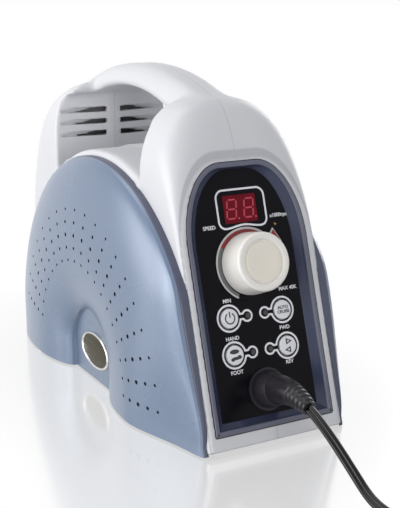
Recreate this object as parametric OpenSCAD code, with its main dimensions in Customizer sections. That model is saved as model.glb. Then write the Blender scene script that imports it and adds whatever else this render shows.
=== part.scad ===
// Dental micromotor: a desk control unit with a carrying handle, and its motor handpiece on a cord.
// Millimetres. +X right seen from the front, +Y to the back, +Z up.
// The origin is on the desk under the unit's middle.

/* [Housing] */
// Length of the housing, which is also the span of the side covers
unit_len = 222; // [216:1:232]
// Width of the white housing
body_w = 74; // [70:1:84]
// Wall thickness of the white housing
wall = 2.6; // [2:0.1:3.2]
// Height of the housing's lower edge above the desk
base_z = 2; // [1.5:0.1:3]
// Height of the hood's shoulder curve below its crest
shoulder_h = 45; // [38:1:52]
// Corner radius of the rear wall, seen from above
rear_corner_r = 9; // [6:0.5:12]
// Radius of the rounded top of the rear wall, seen from the side
rear_top_r = 111; // [106:1:116]
// Height where the rear wall starts to curve forwards
rear_top_z = 68; // [67:1:74]

/* [Handle] */
// White band between the side cover and the handle opening
land = 4; // [3.5:0.1:6]
// Height of the handle opening at its middle
grip_clear = 30; // [28:0.5:34]
// Thickness of the handle at its middle
grip_t = 11.5; // [10:0.5:13]
// Width of the handle
grip_w = 29; // [27:1:34]
// Rounding of the handle's upper edges
grip_round = 10; // [6:0.5:12]
// Front wall of the handle opening, ahead of the middle
open_front = 41; // [38:1:46]
// Rear wall of the handle opening, behind the middle
open_rear = 65; // [61:1:67]
// Number of vent slots in each half of the opening's rear wall
vent_slots = 3; // [2:1:3]
// Height of a vent slot
vent_h = 3; // [2:0.1:3.6]

/* [Side covers] */
// Height of the cover's arch centre above the desk
arch_z = 12; // [10:0.5:14]
// Height of the cover's lower edge above the desk
skirt_z = 0.8; // [0.6:0.1:1.4]
// How far the cover's rim stands off the housing
rim_h = 4.2; // [3.5:0.1:5]
// How far the cover's crest stands off the housing
crest_h = 15.6; // [13:0.2:17]
// Distance of the crest from the arch centre
crest_r = 60; // [56:1:64]
// Height of the pocket's floor off the housing
pocket_h = 5.5; // [5:0.1:6.5]
// Radius of the flat pocket in the middle of the cover
pocket_r = 25; // [23:0.5:27]
// Thickness of the cover
cover_t = 2.2; // [1.8:0.1:2.8]
// Number of rows of holes around the cover
hole_rows = 19; // [13:1:19]
// Angle from one row of holes to the next
hole_step = 9.3; // [8.8:0.1:9.5]
// Radius of the innermost ring of holes
hole_ring_r = 55.4; // [54:0.2:58]
// Distance from one ring of holes to the next
hole_pitch = 6.8; // [6:0.1:7.2]
// Radius of the largest holes, on the middle ring
hole_r = 1.1; // [0.9:0.05:1.3]
// Length of the oval badge plate
badge_l = 35; // [30:1:36]
// Height of the oval badge plate
badge_h = 20; // [16:1:21]

/* [Front panel] */
// Lean of the front panel back from upright
panel_tilt = 17.7; // [16:0.1:19]
// Depth of the black panel below the bezel
recess = 3.5; // [2.5:0.1:4.5]
// Height of the bezel along its slope
bezel_len = 139.5; // [137:0.5:142]
// Half width of the slate trim frame
trim_half_w = 32.9; // [32:0.1:33.5]
// Half width of the black panel that shows
panel_half_w = 26.4; // [25.8:0.1:26.8]
// Thickness of the black panel
panel_t = 2; // [1.5:0.1:2.5]
// Place of the display window up the slope
display_v = 112; // [110.5:0.5:113]
// Width of the display window
display_w = 18; // [17:0.5:19]
// Height of the display window
display_h = 13.4; // [12.8:0.1:14]
// Place of the speed knob up the slope
knob_v = 85.3; // [84:0.1:86]
// Radius of the knob at its foot
knob_r = 16; // [15:0.5:16.5]
// Height of the knob
knob_h = 15; // [13:0.5:17]
// Outer radius of the dial ring
dial_r = 17.7; // [17.2:0.1:18.2]
// Distance of the buttons from the middle line
button_u = 14.75; // [14:0.05:15.2]
// Lower row of buttons, as a share of the way from the socket to the knob
low_row = 0.308; // [0.29:0.002:0.32]
// Upper row of buttons, as a share of the way from the socket to the knob
high_row = 0.598; // [0.58:0.002:0.61]
// Radius of a button cap
button_r = 4.8; // [4.4:0.1:5]
// Travel of a button
button_travel = 0.8; // [0.5:0.1:1]
// Distance of the indicator lamps from the middle line
lamp_u = 4.9; // [4.5:0.1:5.3]
// Radius of an indicator lamp
lamp_r = 1.5; // [1.2:0.05:1.6]
// Place of the handpiece socket up the slope
socket_v = 25.3; // [24.5:0.1:26]
// Outer radius of the handpiece socket
socket_r = 9.2; // [8.8:0.1:9.6]

/* [Electrics] */
// Height of the gap between the front panel and the circuit board
board_gap = 8.4; // [8:0.1:9.5]
// Thickness of the circuit board
board_t = 1.6; // [1.2:0.1:2]
// Radius of the speed control's shaft
shaft_r = 3; // [2.5:0.1:3.2]
// Width of the transformer's core
core_w = 56; // [50:1:58]
// Height of the transformer's core
core_h = 48; // [42:1:52]
// Stack depth of the transformer's core
core_d = 26; // [22:1:30]
// Height of the mains inlet's middle
inlet_z = 24; // [22:1:26]
// Height of the rear rocker switch's middle
rocker_z = 62; // [61:1:63]
// Height of the fuse cap and the foot control socket
rear_jack_z = 46; // [45:1:47]
// Bore radius of the foot control socket
jack_r = 3.2; // [3:0.05:3.4]

/* [Base] */
// Thickness of the base plate
base_t = 2.4; // [2:0.1:3]
// Radius of a rubber foot
foot_r = 7; // [5:0.5:8]
// Distance of the feet from the middle line
foot_x = 24; // [22:1:25]
// Distance of the feet from the middle, front and back
foot_y = 92; // [88:1:94]

/* [Handpiece and cord] */
// Diameter of the handpiece cord
cord_d = 5; // [4.6:0.1:5.2]
// Radius of the motor sleeve
sleeve_r = 13.5; // [12.5:0.1:14.5]
// Length of the motor sleeve
sleeve_l = 56; // [50:1:60]
// Length of the handpiece nose
nose_l = 25; // [22:1:28]
// Length of the chuck ring
chuck_l = 12; // [10:0.5:14]
// Bore radius of the collet, for the usual 2.35 mm bur shank
collet_r = 1.18; // [1.15:0.01:1.25]
// Radius of the motor shaft
motor_shaft_r = 3; // [2.5:0.1:3.5]

/* [Hidden] */
$fn = 48;

// Clearances
run_gap = 0.03;
fit_gap = 0.15;
move_gap = 0.3;
eps = 0.01;
far = 400;

// Housing, worked out from the driving sizes
half_w = body_w / 2;
front_y = -unit_len / 2;
rear_y = unit_len / 2;
arch_r = unit_len / 2;
floor_r = arch_r + land;
hood_top = arch_z + floor_r + grip_clear;
hood_mid_y = front_y + 50;
hood_mid_drop = 5;
under_r = 134;
grip_y = 14;
under_y = 17;
under_z = hood_top - under_r;
grip_r = 183;
grip_z = hood_top + grip_t - grip_r;
grip_front = front_y + 57;
grip_rear = rear_y - 24;
vee_depth = 16;
vent_pitch = 6.8;
vent_z = hood_top - 31.5;
vent_inner = 4;
vent_outer = half_w - 5;
boss_r = 4.5;
boss_x = half_w - 6;
boss_y = 72;
boss_h = 20;
screw_r = 1.5;
screw_head_r = 2.8;
screw_head_t = 1.4;
deck_z = base_z + base_t;

// Bezel, trim and panel outlines: the sides are straight and the upper corners are quarter ellipses
bezel_bottom = (base_z - recess * sin(panel_tilt)) / cos(panel_tilt);
bezel_corner = [24.7, 47.5];
trim_corner = [23, 39.5];
panel_corner = [21.4, 37];
bezel_foot_r = 3;
trim_foot_r = 6;
panel_foot_r = 4;
trim_bottom = bezel_bottom + 6.8;
trim_top = bezel_len - 5;
trim_lip = 1.8;
trim_proud = 0.4;
panel_bottom = trim_bottom + 5.8;
panel_top = trim_top - 3.4;
panel_edge = 1.6;

// Panel parts, heights measured outwards from the face of the black panel
board_z = -panel_t - board_gap;
board_half_w = 25;
board_bottom = socket_v + socket_r + 3.5;
board_top = display_v + 9;
board_post_r = 2;
board_post_u = 22.5;
low_row_v = socket_v + low_row * (knob_v - socket_v);
high_row_v = socket_v + high_row * (knob_v - socket_v);
board_post_v = [(low_row_v + high_row_v) / 2, knob_v + 15];
button_spots = [[-button_u, high_row_v], [button_u, high_row_v],
    [-button_u, low_row_v], [button_u, low_row_v]];
button_h = 1.6;
button_flange = 1;
stem_r = 1.5;
switch_w = 6;
switch_t = 3.5;
stem_dip = 0.3;
lamp_dome = 0.6;
leg_r = 0.4;
dial_t = 0.5;
knob_lift = dial_t + 0.4;
knob_top_r = knob_r - 1.5;
knob_edge_r = 1.5;
knob_hollow_r = 10;
knob_hollow_h = 3.2;
cap_r = 9.7;
cap_t = 1.2;
cap_sink = 0.4;
pot_r = 8;
bush_r = shaft_r + 1;
nut_r = 6;
nut_t = 2;
socket_depth = 14;
socket_bore = 7.4;
socket_flange = 1.2;
socket_nut_t = 3;
pin_count = 5;
pin_r = 0.6;
pin_ring = 3.6;
digit_w = 5.2;
digit_h = 9.6;
digit_pitch = 8.6;
digit_line = 1;
digit_t = 0.2;
digit_slant = 5;

// Rear fittings
inlet_w = 27;
inlet_h = 20;
inlet_flange = 2;
inlet_depth = 17;
rocker_w = 19;
rocker_h = 13;
rocker_tilt = 10;
jack_x = 9;

// Plug and boot
plug_start = socket_flange + 0.2;
plug_len = 8.5;
plug_band = 3;
plug_r = 9;
plug_tail_r = 7.4;
boot_len = 26;
boot_bend = 36;
boot_ribs = 5;
boot_start_r = 7.3;
boot_end_r = 3.6;
boot_groove = 0.8;
boot_sides = 12;
boot_reach = plug_start + plug_len;
boot_base = [0, front_y + socket_v * sin(panel_tilt) - boot_reach * cos(panel_tilt),
    socket_v * cos(panel_tilt) + boot_reach * sin(panel_tilt)];
boot_bow_r = boot_len / (boot_bend * PI / 180);

// Cord route: out of the boot, down to the desk and away to the coil, points chosen by hand
cord_sides = 8;
lead_points = [[0, -148, 23.4], [0, -153.5, 20.9], [0, -159, 18.1], [0, -164.5, 15], [0, -170, 11.8],
    [0, -175.5, 8.6], [-0.2, -181, 5.8], [-0.4, -187, 3.7], [-0.4, -194, 2.8], [0, -203, 2.6],
    [1, -215, 2.6], [3, -227, 2.7], [6, -239, 3], [10, -251, 3.3]];

// Coil: the cord winds in on the lower layer, climbs and winds out on the upper one
coil_x = 57;
coil_y = -247;
coil_r = 44;
coil_gap = 0.6;
coil_start = 210;
coil_turns = 6 + 150 / 360;
coil_steps = 24;
coil_sides = 6;
tie_t = 0.8;
tie_w = 9;
tie_gap = 0.4;
tie_angle = 90;
coil_pitch = cord_d + coil_gap;
coil_low_z = tie_t + tie_gap / 2 + cord_d / 2;
climb_turns = 0.5;
layer_turns = (coil_turns - climb_turns) / 2;
coil_inner = coil_r - coil_pitch * coil_turns / 2;

// Handpiece, lying on the desk with its nose to the back
hand_x = coil_x + coil_r;
hand_z = sleeve_r;
hand_y = -221;
hand_boot_l = 22;
hand_cap_l = 10;
hand_wall = 1.6;
sleeve_y = hand_boot_l + hand_cap_l;
chuck_y = sleeve_y + sleeve_l;
nose_y = chuck_y + chuck_l;
nose_end = nose_y + nose_l;
collet_out = 4;
stator_wall = 3.5;
rotor_gap = 0.6;
bearing_t = 5;
chuck_core_r = 9.5;
nose_tip_r = 5;
collet_depth = 14;
end_play = 0.5;

// Vectors and sweeps
function unit(v) = v / norm(v);
function mix(a, b, f) = a + (b - a) * f;
function tangent(p, i) = unit(p[min(i + 1, len(p) - 1)] - p[max(i - 1, 0)]);
function ring(p, t, r, sides) = let (s = unit(cross(t, [0, 0, 1])), u = cross(s, t))
    [for (k = [0:sides - 1]) p + r * (cos(360 * k / sides) * s + sin(360 * k / sides) * u)];

// One closed tube through the points, with a radius at each of them
module tube(points, radii, sides) {
    last = len(points) - 1;
    rings = [for (i = [0:last]) each ring(points[i], tangent(points, i), radii[i], sides)];
    walls = [for (i = [0:last - 1], k = [0:sides - 1])
        let (a = i * sides + k, b = i * sides + (k + 1) % sides)
        each [[a, b, b + sides], [a, b + sides, a + sides]]];
    caps = [for (k = [1:sides - 2]) each [[0, k + 1, k],
        [last * sides, last * sides + k, last * sides + k + 1]]];
    polyhedron(points = rings, faces = concat(walls, caps), convexity = 8);
}

// Turns from the coil's start, its radius there and its height
function coil_radius(turn) = turn < coil_turns / 2 ? coil_r - coil_pitch * turn
    : coil_r - coil_pitch * (coil_turns - turn);
function coil_climb(turn) = let (f = min(1, max(0, (turn - layer_turns) / climb_turns))) f * f * (3 - 2 * f);
function coil_point(turn) = let (a = coil_start + 360 * turn, r = coil_radius(turn))
    [coil_x + r * cos(a), coil_y + r * sin(a), coil_low_z + coil_pitch * coil_climb(turn)];
function coil_heading(turn) = let (a = coil_start + 360 * turn) [-sin(a), cos(a), 0];
coil_rings = round(coil_turns * coil_steps);
coil_bends = [for (i = [0:coil_rings]) coil_point(coil_turns * i / coil_rings)];
coil_in = coil_point(0) - cord_d * coil_heading(0);
coil_out = coil_point(coil_turns) + cord_d * coil_heading(coil_turns);
coil_path = concat([coil_in], coil_bends, [coil_out]);
coil_self_gap = min([for (i = [0:coil_rings], j = [i + coil_steps / 2:1:coil_rings])
    norm(coil_bends[i] - coil_bends[j])]) - cord_d;

// Boot: a bow in the upright plane, from the plug's tail down to the cord
function boot_lean(f) = panel_tilt - boot_bend * f;
function boot_point(f) = boot_base + boot_bow_r * [0, sin(boot_lean(f)) - sin(panel_tilt),
    cos(boot_lean(f)) - cos(panel_tilt)];
function boot_heading(f) = [0, -cos(boot_lean(f)), sin(boot_lean(f))];
boot_steps = boot_ribs * 4;
boot_tip = boot_point(1);
boot_path = [for (i = [0:boot_steps]) boot_point(i / boot_steps)];
boot_radii = [for (i = [0:boot_steps]) mix(boot_start_r, boot_end_r, i / boot_steps)
    - ((i % 4 == 2 || i % 4 == 3) ? boot_groove : 0)];
lead_path = concat([boot_tip, boot_tip + cord_d * boot_heading(1)], lead_points,
    [coil_in - cord_d * coil_heading(0), coil_in]);
tail_end = [hand_x, hand_y, hand_z];
tail_path = [coil_out, coil_out + [0, cord_d, 0.4], tail_end - [0, cord_d, 0.2], tail_end];
function path_len(p) = len(p) < 2 ? 0 : [for (i = 1, s = norm(p[1] - p[0]); i < len(p);
    i = i + 1, s = s + (i < len(p) ? norm(p[i] - p[i - 1]) : 0)) s][len(p) - 2];
echo(least_gap_in_coil = coil_self_gap);
echo(cord_length = path_len(lead_path) + path_len(coil_path) + path_len(tail_path));

// Outlines
function corner(c, r, from) = [for (i = [0:6]) c + r * [cos(from + 15 * i), sin(from + 15 * i)]];
function oval_corner(c, s, from) =
    [for (i = [0:10]) c + [s[0] * cos(from + 9 * i), s[1] * sin(from + 9 * i)]];
function face_outline(hw, low, high, top, foot) = concat(
    corner([-hw + foot, low + foot], foot, 180), corner([hw - foot, low + foot], foot, 270),
    oval_corner([hw - top[0], high - top[1]], top, 0), oval_corner([-hw + top[0], high - top[1]], top, 90));
function bezel_outline(inset) = face_outline(half_w - inset, inset > 0 ? -far / 40 : bezel_bottom,
    bezel_len - inset, bezel_corner - [inset, inset], bezel_foot_r);
function trim_outline(grow) = face_outline(trim_half_w + grow, trim_bottom - grow, trim_top + grow,
    trim_corner + [grow, grow], trim_foot_r + grow);
function panel_outline(grow) = face_outline(panel_half_w + grow, panel_bottom - grow, panel_top + grow,
    panel_corner + [grow, grow], panel_foot_r + grow);
function hood_outline(hw, top, low) = concat([[-hw, low], [hw, low]],
    [for (i = [0:24]) [hw * cos(7.5 * i), top - shoulder_h + shoulder_h * sin(7.5 * i)]]);
function oval(l, h) = [for (i = [0:47]) [l / 2 * cos(7.5 * i), h / 2 * sin(7.5 * i)]];

// Height of the cover over its seat: from the pocket's floor up to the crest, and down to the rim
function swell(u, foot) = foot + (crest_h - foot) * pow(1 - pow(min(1, max(0, u)), 1.8), 0.6);
function cover_height(r) = r < pocket_r ? pocket_h
    : r < crest_r ? swell((crest_r - r) / (crest_r - pocket_r), pocket_h)
    : swell((r - crest_r) / (arch_r - crest_r), rim_h);
rim_wall = 12;
rim_slope = 40;
rim_flat = 3.2;
cover_steps = 10;
rim_inner_r = arch_r - rim_wall;
bowl_radii = [for (i = [0:cover_steps]) pocket_r + (crest_r - pocket_r) * (1 - cos(90 * i / cover_steps))];
dome_radii = [for (i = [1:cover_steps]) crest_r + (arch_r - crest_r) * sin(90 * i / cover_steps)];
inner_radii = concat(bowl_radii, [for (r = dome_radii) if (r < rim_inner_r - 1) r], [rim_inner_r]);
holes_y = 1;
holes_rise = 1;
hole_start = 0.5;
cover_profile = concat([[0, pocket_h]], [for (r = concat(bowl_radii, dome_radii)) [r, cover_height(r)]],
    [[arch_r, 0], [rim_inner_r, 0]],
    [for (i = [len(inner_radii) - 1:-1:0]) [inner_radii[i], cover_height(inner_radii[i]) - cover_t]],
    [[0, pocket_h - cover_t]]);

// Places
module on_panel(lift = 0) {
    translate([0, front_y, 0]) rotate([90 - panel_tilt, 0, 0]) translate([0, 0, lift]) children();
}
module on_side() { translate([half_w, 0, arch_z]) rotate([90, 0, 90]) children(); }
module on_rear(x, z) { translate([x, rear_y, z]) rotate([-90, 0, 0]) children(); }
module on_handpiece(y = 0) { translate([hand_x, hand_y + y, hand_z]) rotate([-90, 0, 0]) children(); }
module across(r, w) { rotate([0, 90, 0]) cylinder(r = r, h = w, center = true, $fn = 96); }
module both_sides() {
    children();
    mirror([1, 0, 0]) children();
}
module corners(x, y) {
    for (sx = [-1, 1], sy = [-1, 1]) translate([sx * x, sy * y, 0]) children();
}

// Forms of the housing, each drawn in by an inset to give the inside of its wall
module slice(hw, top, low, y) {
    translate([0, y, 0]) rotate([90, 0, 0]) linear_extrude(1) polygon(hood_outline(hw, top, low));
}
module hood(inset) {
    low = inset > 0 ? -far / 40 : base_z;
    hull() {
        on_panel(recess - inset - 1) linear_extrude(1) polygon(bezel_outline(inset));
        slice(half_w - inset, hood_top - hood_mid_drop - inset, low, hood_mid_y);
        slice(half_w - inset, hood_top - inset, low, -open_front - inset);
    }
}
module belly(inset) {
    intersection() {
        translate([0, 0, arch_z]) across(floor_r - inset, body_w - 2 * inset);
        translate([-far / 2, -open_front - inset - 1.5, inset > 0 ? -far / 40 : base_z])
            cube([far, open_front + open_rear + vee_depth + 8, far]);
    }
}
module rear_profile(inset) {
    r = rear_top_r - inset;
    rotate([90, 0, 90]) linear_extrude(far, center = true) union() {
        translate([-far, -far]) square([far + rear_y - rear_top_r, far + rear_top_z + r]);
        translate([-far, -far]) square([far + rear_y - inset, far + rear_top_z]);
        translate([rear_y - rear_top_r, rear_top_z]) circle(r, $fn = 128);
    }
}
module rear_column(inset) {
    y0 = open_rear - 5;
    low = inset > 0 ? -far / 40 : base_z;
    c = rear_corner_r - inset;
    intersection() {
        translate([0, rear_y - inset, 0]) rotate([90, 0, 0]) linear_extrude(rear_y - inset - y0)
            polygon(hood_outline(half_w - inset, hood_top - inset, low));
        rear_profile(inset);
        translate([0, 0, -far / 2]) linear_extrude(far) union() {
            translate([-half_w + inset, y0]) square([body_w - 2 * inset, rear_y - rear_corner_r - y0]);
            translate([-half_w + rear_corner_r, y0])
                square([body_w - 2 * rear_corner_r, rear_y - inset - y0]);
            for (s = [-1, 1]) translate([s * (half_w - rear_corner_r), rear_y - rear_corner_r]) circle(c);
        }
    }
}
module grip(inset) {
    hw = grip_w / 2 - inset;
    top = grip_r - inset;
    rd = grip_round - inset / 2;
    intersection() {
        translate([0, grip_y, grip_z]) rotate([0, 90, 0]) rotate_extrude($fn = 96) polygon(concat(
            [[grip_r - 34, -hw]],
            [for (i = [0:6]) [top - rd + rd * sin(15 * i), -hw + rd - rd * cos(15 * i)]],
            [for (i = [0:6]) [top - rd + rd * cos(15 * i), hw - rd + rd * sin(15 * i)]],
            [[grip_r - 34, hw]]));
        translate([-far / 2, grip_front + inset, hood_top - shoulder_h])
            cube([far, grip_rear - grip_front - 2 * inset, far]);
        rear_profile(inset);
    }
}
module opening(inset) {
    wide = body_w;
    intersection() {
        linear_extrude(far) polygon([[-wide, -open_front - inset], [wide, -open_front - inset],
            [wide, open_rear + inset + vee_depth * wide / half_w], [0, open_rear + inset],
            [-wide, open_rear + inset + vee_depth * wide / half_w]]);
        difference() {
            translate([0, under_y, under_z]) across(under_r + inset, far);
            translate([0, 0, arch_z]) across(floor_r - inset, far);
        }
    }
}
module housing_form(inset) {
    difference() {
        union() {
            hood(inset);
            belly(inset);
            rear_column(inset);
            grip(inset);
        }
        opening(inset);
    }
}
module housing_cuts() {
    on_panel(-far / 20) linear_extrude(far / 10) polygon(trim_outline(fit_gap));
    for (i = [0:vent_slots - 1]) both_sides()
        translate([vent_inner, open_rear - 1, vent_z + i * vent_pitch - vent_h / 2])
            cube([vent_outer - vent_inner, vee_depth + 3 * wall, vent_h]);
    translate([-inlet_w / 2 - fit_gap, rear_y - 2 * wall, inlet_z - inlet_h / 2 - fit_gap])
        cube([inlet_w + 2 * fit_gap, 4 * wall, inlet_h + 2 * fit_gap]);
    translate([-rocker_w / 2 - fit_gap, rear_y - 2 * wall, rocker_z - rocker_h / 2 - fit_gap])
        cube([rocker_w + 2 * fit_gap, 4 * wall, rocker_h + 2 * fit_gap]);
    for (s = [-1, 1]) on_rear(s * jack_x, rear_jack_z)
        cylinder(r = jack_r + 1.5 + fit_gap, h = 4 * wall, center = true);
}
module body_shell() {
    difference() {
        union() {
            intersection() {
                difference() {
                    housing_form(0);
                    housing_form(wall);
                    housing_cuts();
                }
                translate([0, -far / 2, base_z]) cube(far);
            }
            for (s = [-1, 1]) translate([boss_x, s * boss_y, deck_z]) cylinder(r = boss_r, h = boss_h);
            for (s = [-1, 1]) translate([boss_x, s * boss_y - boss_r, deck_z])
                cube([half_w - wall / 2 - boss_x, 2 * boss_r, boss_h]);
        }
        for (s = [-1, 1]) translate([boss_x, s * boss_y, deck_z - 1])
            cylinder(r = screw_r + run_gap, h = boss_h / 2 + 1);
    }
}
module left_body_shell() { color("gainsboro") mirror([1, 0, 0]) body_shell(); }
module right_body_shell() { color("gainsboro") body_shell(); }

// Side covers: an arched shell, swelling round a bowl with a flat pocket, that runs straight down to the desk
module cover_form() {
    rotate_extrude(angle = 180, $fn = 128) polygon(cover_profile);
    for (s = [0, 1]) mirror([s, 0, 0]) rotate([90, 0, 0])
        linear_extrude(arch_z - skirt_z) polygon(cover_profile);
}
module side_cover() {
    difference() {
        on_side() cover_form();
        on_panel(recess) translate([-far / 2, -far / 2, 0]) cube([far, far, far]);
        on_panel(recess) translate([half_w + rim_flat, 0, 0]) rotate([0, rim_slope, 0])
            translate([-far / 2, -far / 2, 0]) cube([far, far, far]);
        on_side() translate([holes_y, holes_rise, 0]) for (row = [0:hole_rows - 1], k = [0:4]) {
            a = 180 - hole_start - hole_step * row;
            r = hole_ring_r + k * hole_pitch;
            translate([r * cos(a), r * sin(a), cover_t])
                cylinder(r = hole_r - 0.15 * abs(k - 2), h = 2 * crest_h, $fn = 16);
        }
    }
}
module left_side_cover() { color("lightsteelblue") mirror([1, 0, 0]) side_cover(); }
module right_side_cover() { color("lightsteelblue") side_cover(); }

// Oval badge in each cover's pocket: a bright rim round a bare plate
badge_y = 1;
badge_rise = 6;
badge_rim_w = 1.6;
badge_rim_t = 1.6;
badge_plate_t = 1;
module on_badge() { on_side() translate([badge_y, badge_rise, pocket_h]) children(); }
module badge_rims() {
    color("silver") both_sides() on_badge() linear_extrude(badge_rim_t) difference() {
        polygon(oval(badge_l, badge_h));
        polygon(oval(badge_l - 2 * badge_rim_w, badge_h - 2 * badge_rim_w));
    }
}
module badge_plates() {
    color("lightgray") both_sides() on_badge() linear_extrude(badge_plate_t)
        polygon(oval(badge_l - 2 * badge_rim_w - fit_gap, badge_h - 2 * badge_rim_w - fit_gap));
}

// A closed ring through outlines of equal count, each given with its height off the panel
module ring_solid(loops) {
    count = len(loops[0][0]);
    rows = len(loops);
    points = [for (l = loops) each [for (p = l[0]) [p[0], p[1], l[1]]]];
    faces = [for (i = [0:rows - 1], k = [0:count - 1])
        let (a = i * count, b = ((i + 1) % rows) * count, m = (k + 1) % count)
        each [[a + k, b + k, b + m], [a + k, b + m, a + m]]];
    polyhedron(points = points, faces = faces, convexity = 4);
}

// Front panel and its frame
module trim_frame() {
    rim = recess + trim_proud;
    seat = panel_edge + fit_gap;
    color("slategray") on_panel() ring_solid([[trim_outline(0), -panel_t], [trim_outline(0), rim],
        [trim_outline(-trim_lip), rim], [panel_outline(0), 0], [panel_outline(seat), 0],
        [panel_outline(seat), -panel_t]]);
}
module front_panel() {
    color("black") difference() {
        on_panel(-panel_t) linear_extrude(panel_t) polygon(panel_outline(panel_edge));
        on_panel(-panel_t - 1) {
            translate([-display_w / 2 - fit_gap, display_v - display_h / 2 - fit_gap, 0])
                cube([display_w + 2 * fit_gap, display_h + 2 * fit_gap, panel_t + 2]);
            translate([0, knob_v, 0]) cylinder(r = bush_r + fit_gap, h = panel_t + 2);
            translate([0, socket_v, 0]) cylinder(r = socket_r + fit_gap, h = panel_t + 2);
            for (p = button_spots) {
                translate(p) cylinder(r = button_r + move_gap, h = panel_t + 2);
                translate([sign(p[0]) * lamp_u, p[1], 0]) cylinder(r = lamp_r + fit_gap, h = panel_t + 2);
            }
        }
    }
}
module display_window() {
    color("darkred") on_panel(-panel_t + 0.4)
        translate([-display_w / 2, display_v - display_h / 2, 0]) cube([display_w, display_h, panel_t - 0.4]);
}
module display_module() {
    color("dimgray") on_panel(board_z)
        translate([-display_w / 2 - 1, display_v - display_h / 2 - 1, 0])
            cube([display_w + 2, display_h + 2, board_gap - digit_t]);
}
// A lit bar of a digit, pointed at both ends
module digit_bar(l) {
    c = digit_line / 2;
    polygon([[-l / 2, 0], [-l / 2 + c, c], [l / 2 - c, c], [l / 2, 0], [l / 2 - c, -c], [-l / 2 + c, -c]]);
}
module display_digits() {
    bar = digit_h / 2 - digit_line / 2;
    lean = tan(digit_slant);
    color("red") on_panel(-panel_t - digit_t) for (s = [-1, 1])
        translate([s * digit_pitch / 2 - 0.6, display_v, 0]) linear_extrude(digit_t) {
            for (k = [-1, 0, 1]) translate([k * lean * bar, k * bar]) digit_bar(digit_w - 1.2 * digit_line);
            for (kx = [-1, 1], ky = [-1, 1]) translate([kx * digit_w / 2 + ky * lean * bar / 2, ky * bar / 2])
                rotate(90 - digit_slant) digit_bar(bar - 0.4 * digit_line);
            translate([digit_w / 2 + 0.9, -bar]) circle(digit_line / 2);
        }
}
module dial_ring() {
    color("gray") on_panel() translate([0, knob_v, 0]) difference() {
        cylinder(r = dial_r, h = dial_t);
        translate([0, 0, -1]) cylinder(r = knob_hollow_r - 1, h = dial_t + 2);
    }
}

// Speed control
module speed_knob() {
    color("ivory") on_panel() translate([0, knob_v, 0]) difference() {
        rotate_extrude($fn = 96) polygon(concat(
            [[0, knob_lift], [knob_r, knob_lift], [knob_r, knob_lift + 2]],
            [for (i = [0:6]) [knob_top_r, knob_h] - knob_edge_r * [1 - cos(15 * i), 1 - sin(15 * i)]],
            [[0, knob_h]]));
        translate([0, 0, knob_lift - 1]) cylinder(r = knob_hollow_r, h = knob_hollow_h + 1);
        translate([0, 0, knob_lift]) cylinder(r = shaft_r, h = knob_h - cap_t - cap_sink - 2 - knob_lift);
        translate([0, 0, knob_h - cap_t - cap_sink]) cylinder(r = cap_r + 0.05, h = cap_t + 1);
    }
}
module knob_cap() {
    color("wheat") on_panel(knob_h - cap_t - cap_sink) translate([0, knob_v, 0])
        cylinder(r = cap_r, h = cap_t);
}
module pot_body() {
    color("dimgray") on_panel() translate([0, knob_v, 0]) difference() {
        union() {
            translate([0, 0, board_z]) cylinder(r = pot_r, h = board_gap - 0.1);
            translate([0, 0, board_z]) cylinder(r = bush_r, h = panel_t + board_gap + nut_t);
        }
        translate([0, 0, board_z + 1]) cylinder(r = shaft_r + run_gap, h = panel_t + board_gap + nut_t);
    }
}
module pot_nut() {
    color("silver") on_panel() translate([0, knob_v, 0]) difference() {
        cylinder(r = nut_r, h = nut_t, $fn = 6);
        translate([0, 0, -1]) cylinder(r = bush_r + run_gap, h = nut_t + 2);
    }
}
module pot_shaft() {
    color("silver") on_panel() translate([0, knob_v, board_z + 1 + 0.2])
        cylinder(r = shaft_r, h = knob_h - cap_t - cap_sink - 2 - board_z - 1 - 0.2);
}

// Buttons, switches and lamps
module button(k) {
    color("lightgray") on_panel() translate(button_spots[k]) {
        translate([0, 0, -panel_t - 0.1]) cylinder(r = button_r, h = button_h + panel_t + 0.1);
        translate([0, 0, -panel_t - 0.1 - button_flange]) cylinder(r = button_r + 1, h = button_flange);
        translate([0, 0, board_z + switch_t - stem_dip])
            cylinder(r = stem_r, h = board_gap - switch_t + stem_dip - 0.1 - button_flange / 2);
    }
}
module power_button() { button(0); }
module cruise_button() { button(1); }
module hand_foot_button() { button(2); }
module direction_button() { button(3); }
module tact_switches() {
    color("dimgray") on_panel(board_z) for (p = button_spots) translate(p) difference() {
        translate([-switch_w / 2, -switch_w / 2, 0]) cube([switch_w, switch_w, switch_t]);
        translate([0, 0, switch_t - stem_dip - button_travel - move_gap])
            cylinder(r = stem_r + move_gap, h = switch_t);
    }
}
module indicator_lamps() {
    color("tomato") on_panel() for (p = button_spots) translate([sign(p[0]) * lamp_u, p[1], 0]) {
        translate([0, 0, -panel_t - 1]) cylinder(r = lamp_r, h = panel_t + 1);
        intersection() {
            sphere(r = lamp_r);
            translate([-lamp_r, -lamp_r, -eps]) cube([2 * lamp_r, 2 * lamp_r, lamp_r * lamp_dome]);
        }
        for (s = [-1, 1]) translate([s * lamp_r / 2, 0, board_z]) cylinder(r = leg_r, h = board_gap - 0.9);
    }
}
module control_board() {
    color("darkgreen") on_panel(board_z - board_t)
        translate([-board_half_w, board_bottom, 0])
            cube([2 * board_half_w, board_top - board_bottom, board_t]);
}
module board_posts() {
    color("silver") on_panel(board_z) for (s = [-1, 1], v = board_post_v) translate([s * board_post_u, v, 0])
        cylinder(r = board_post_r, h = board_gap);
}

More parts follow.
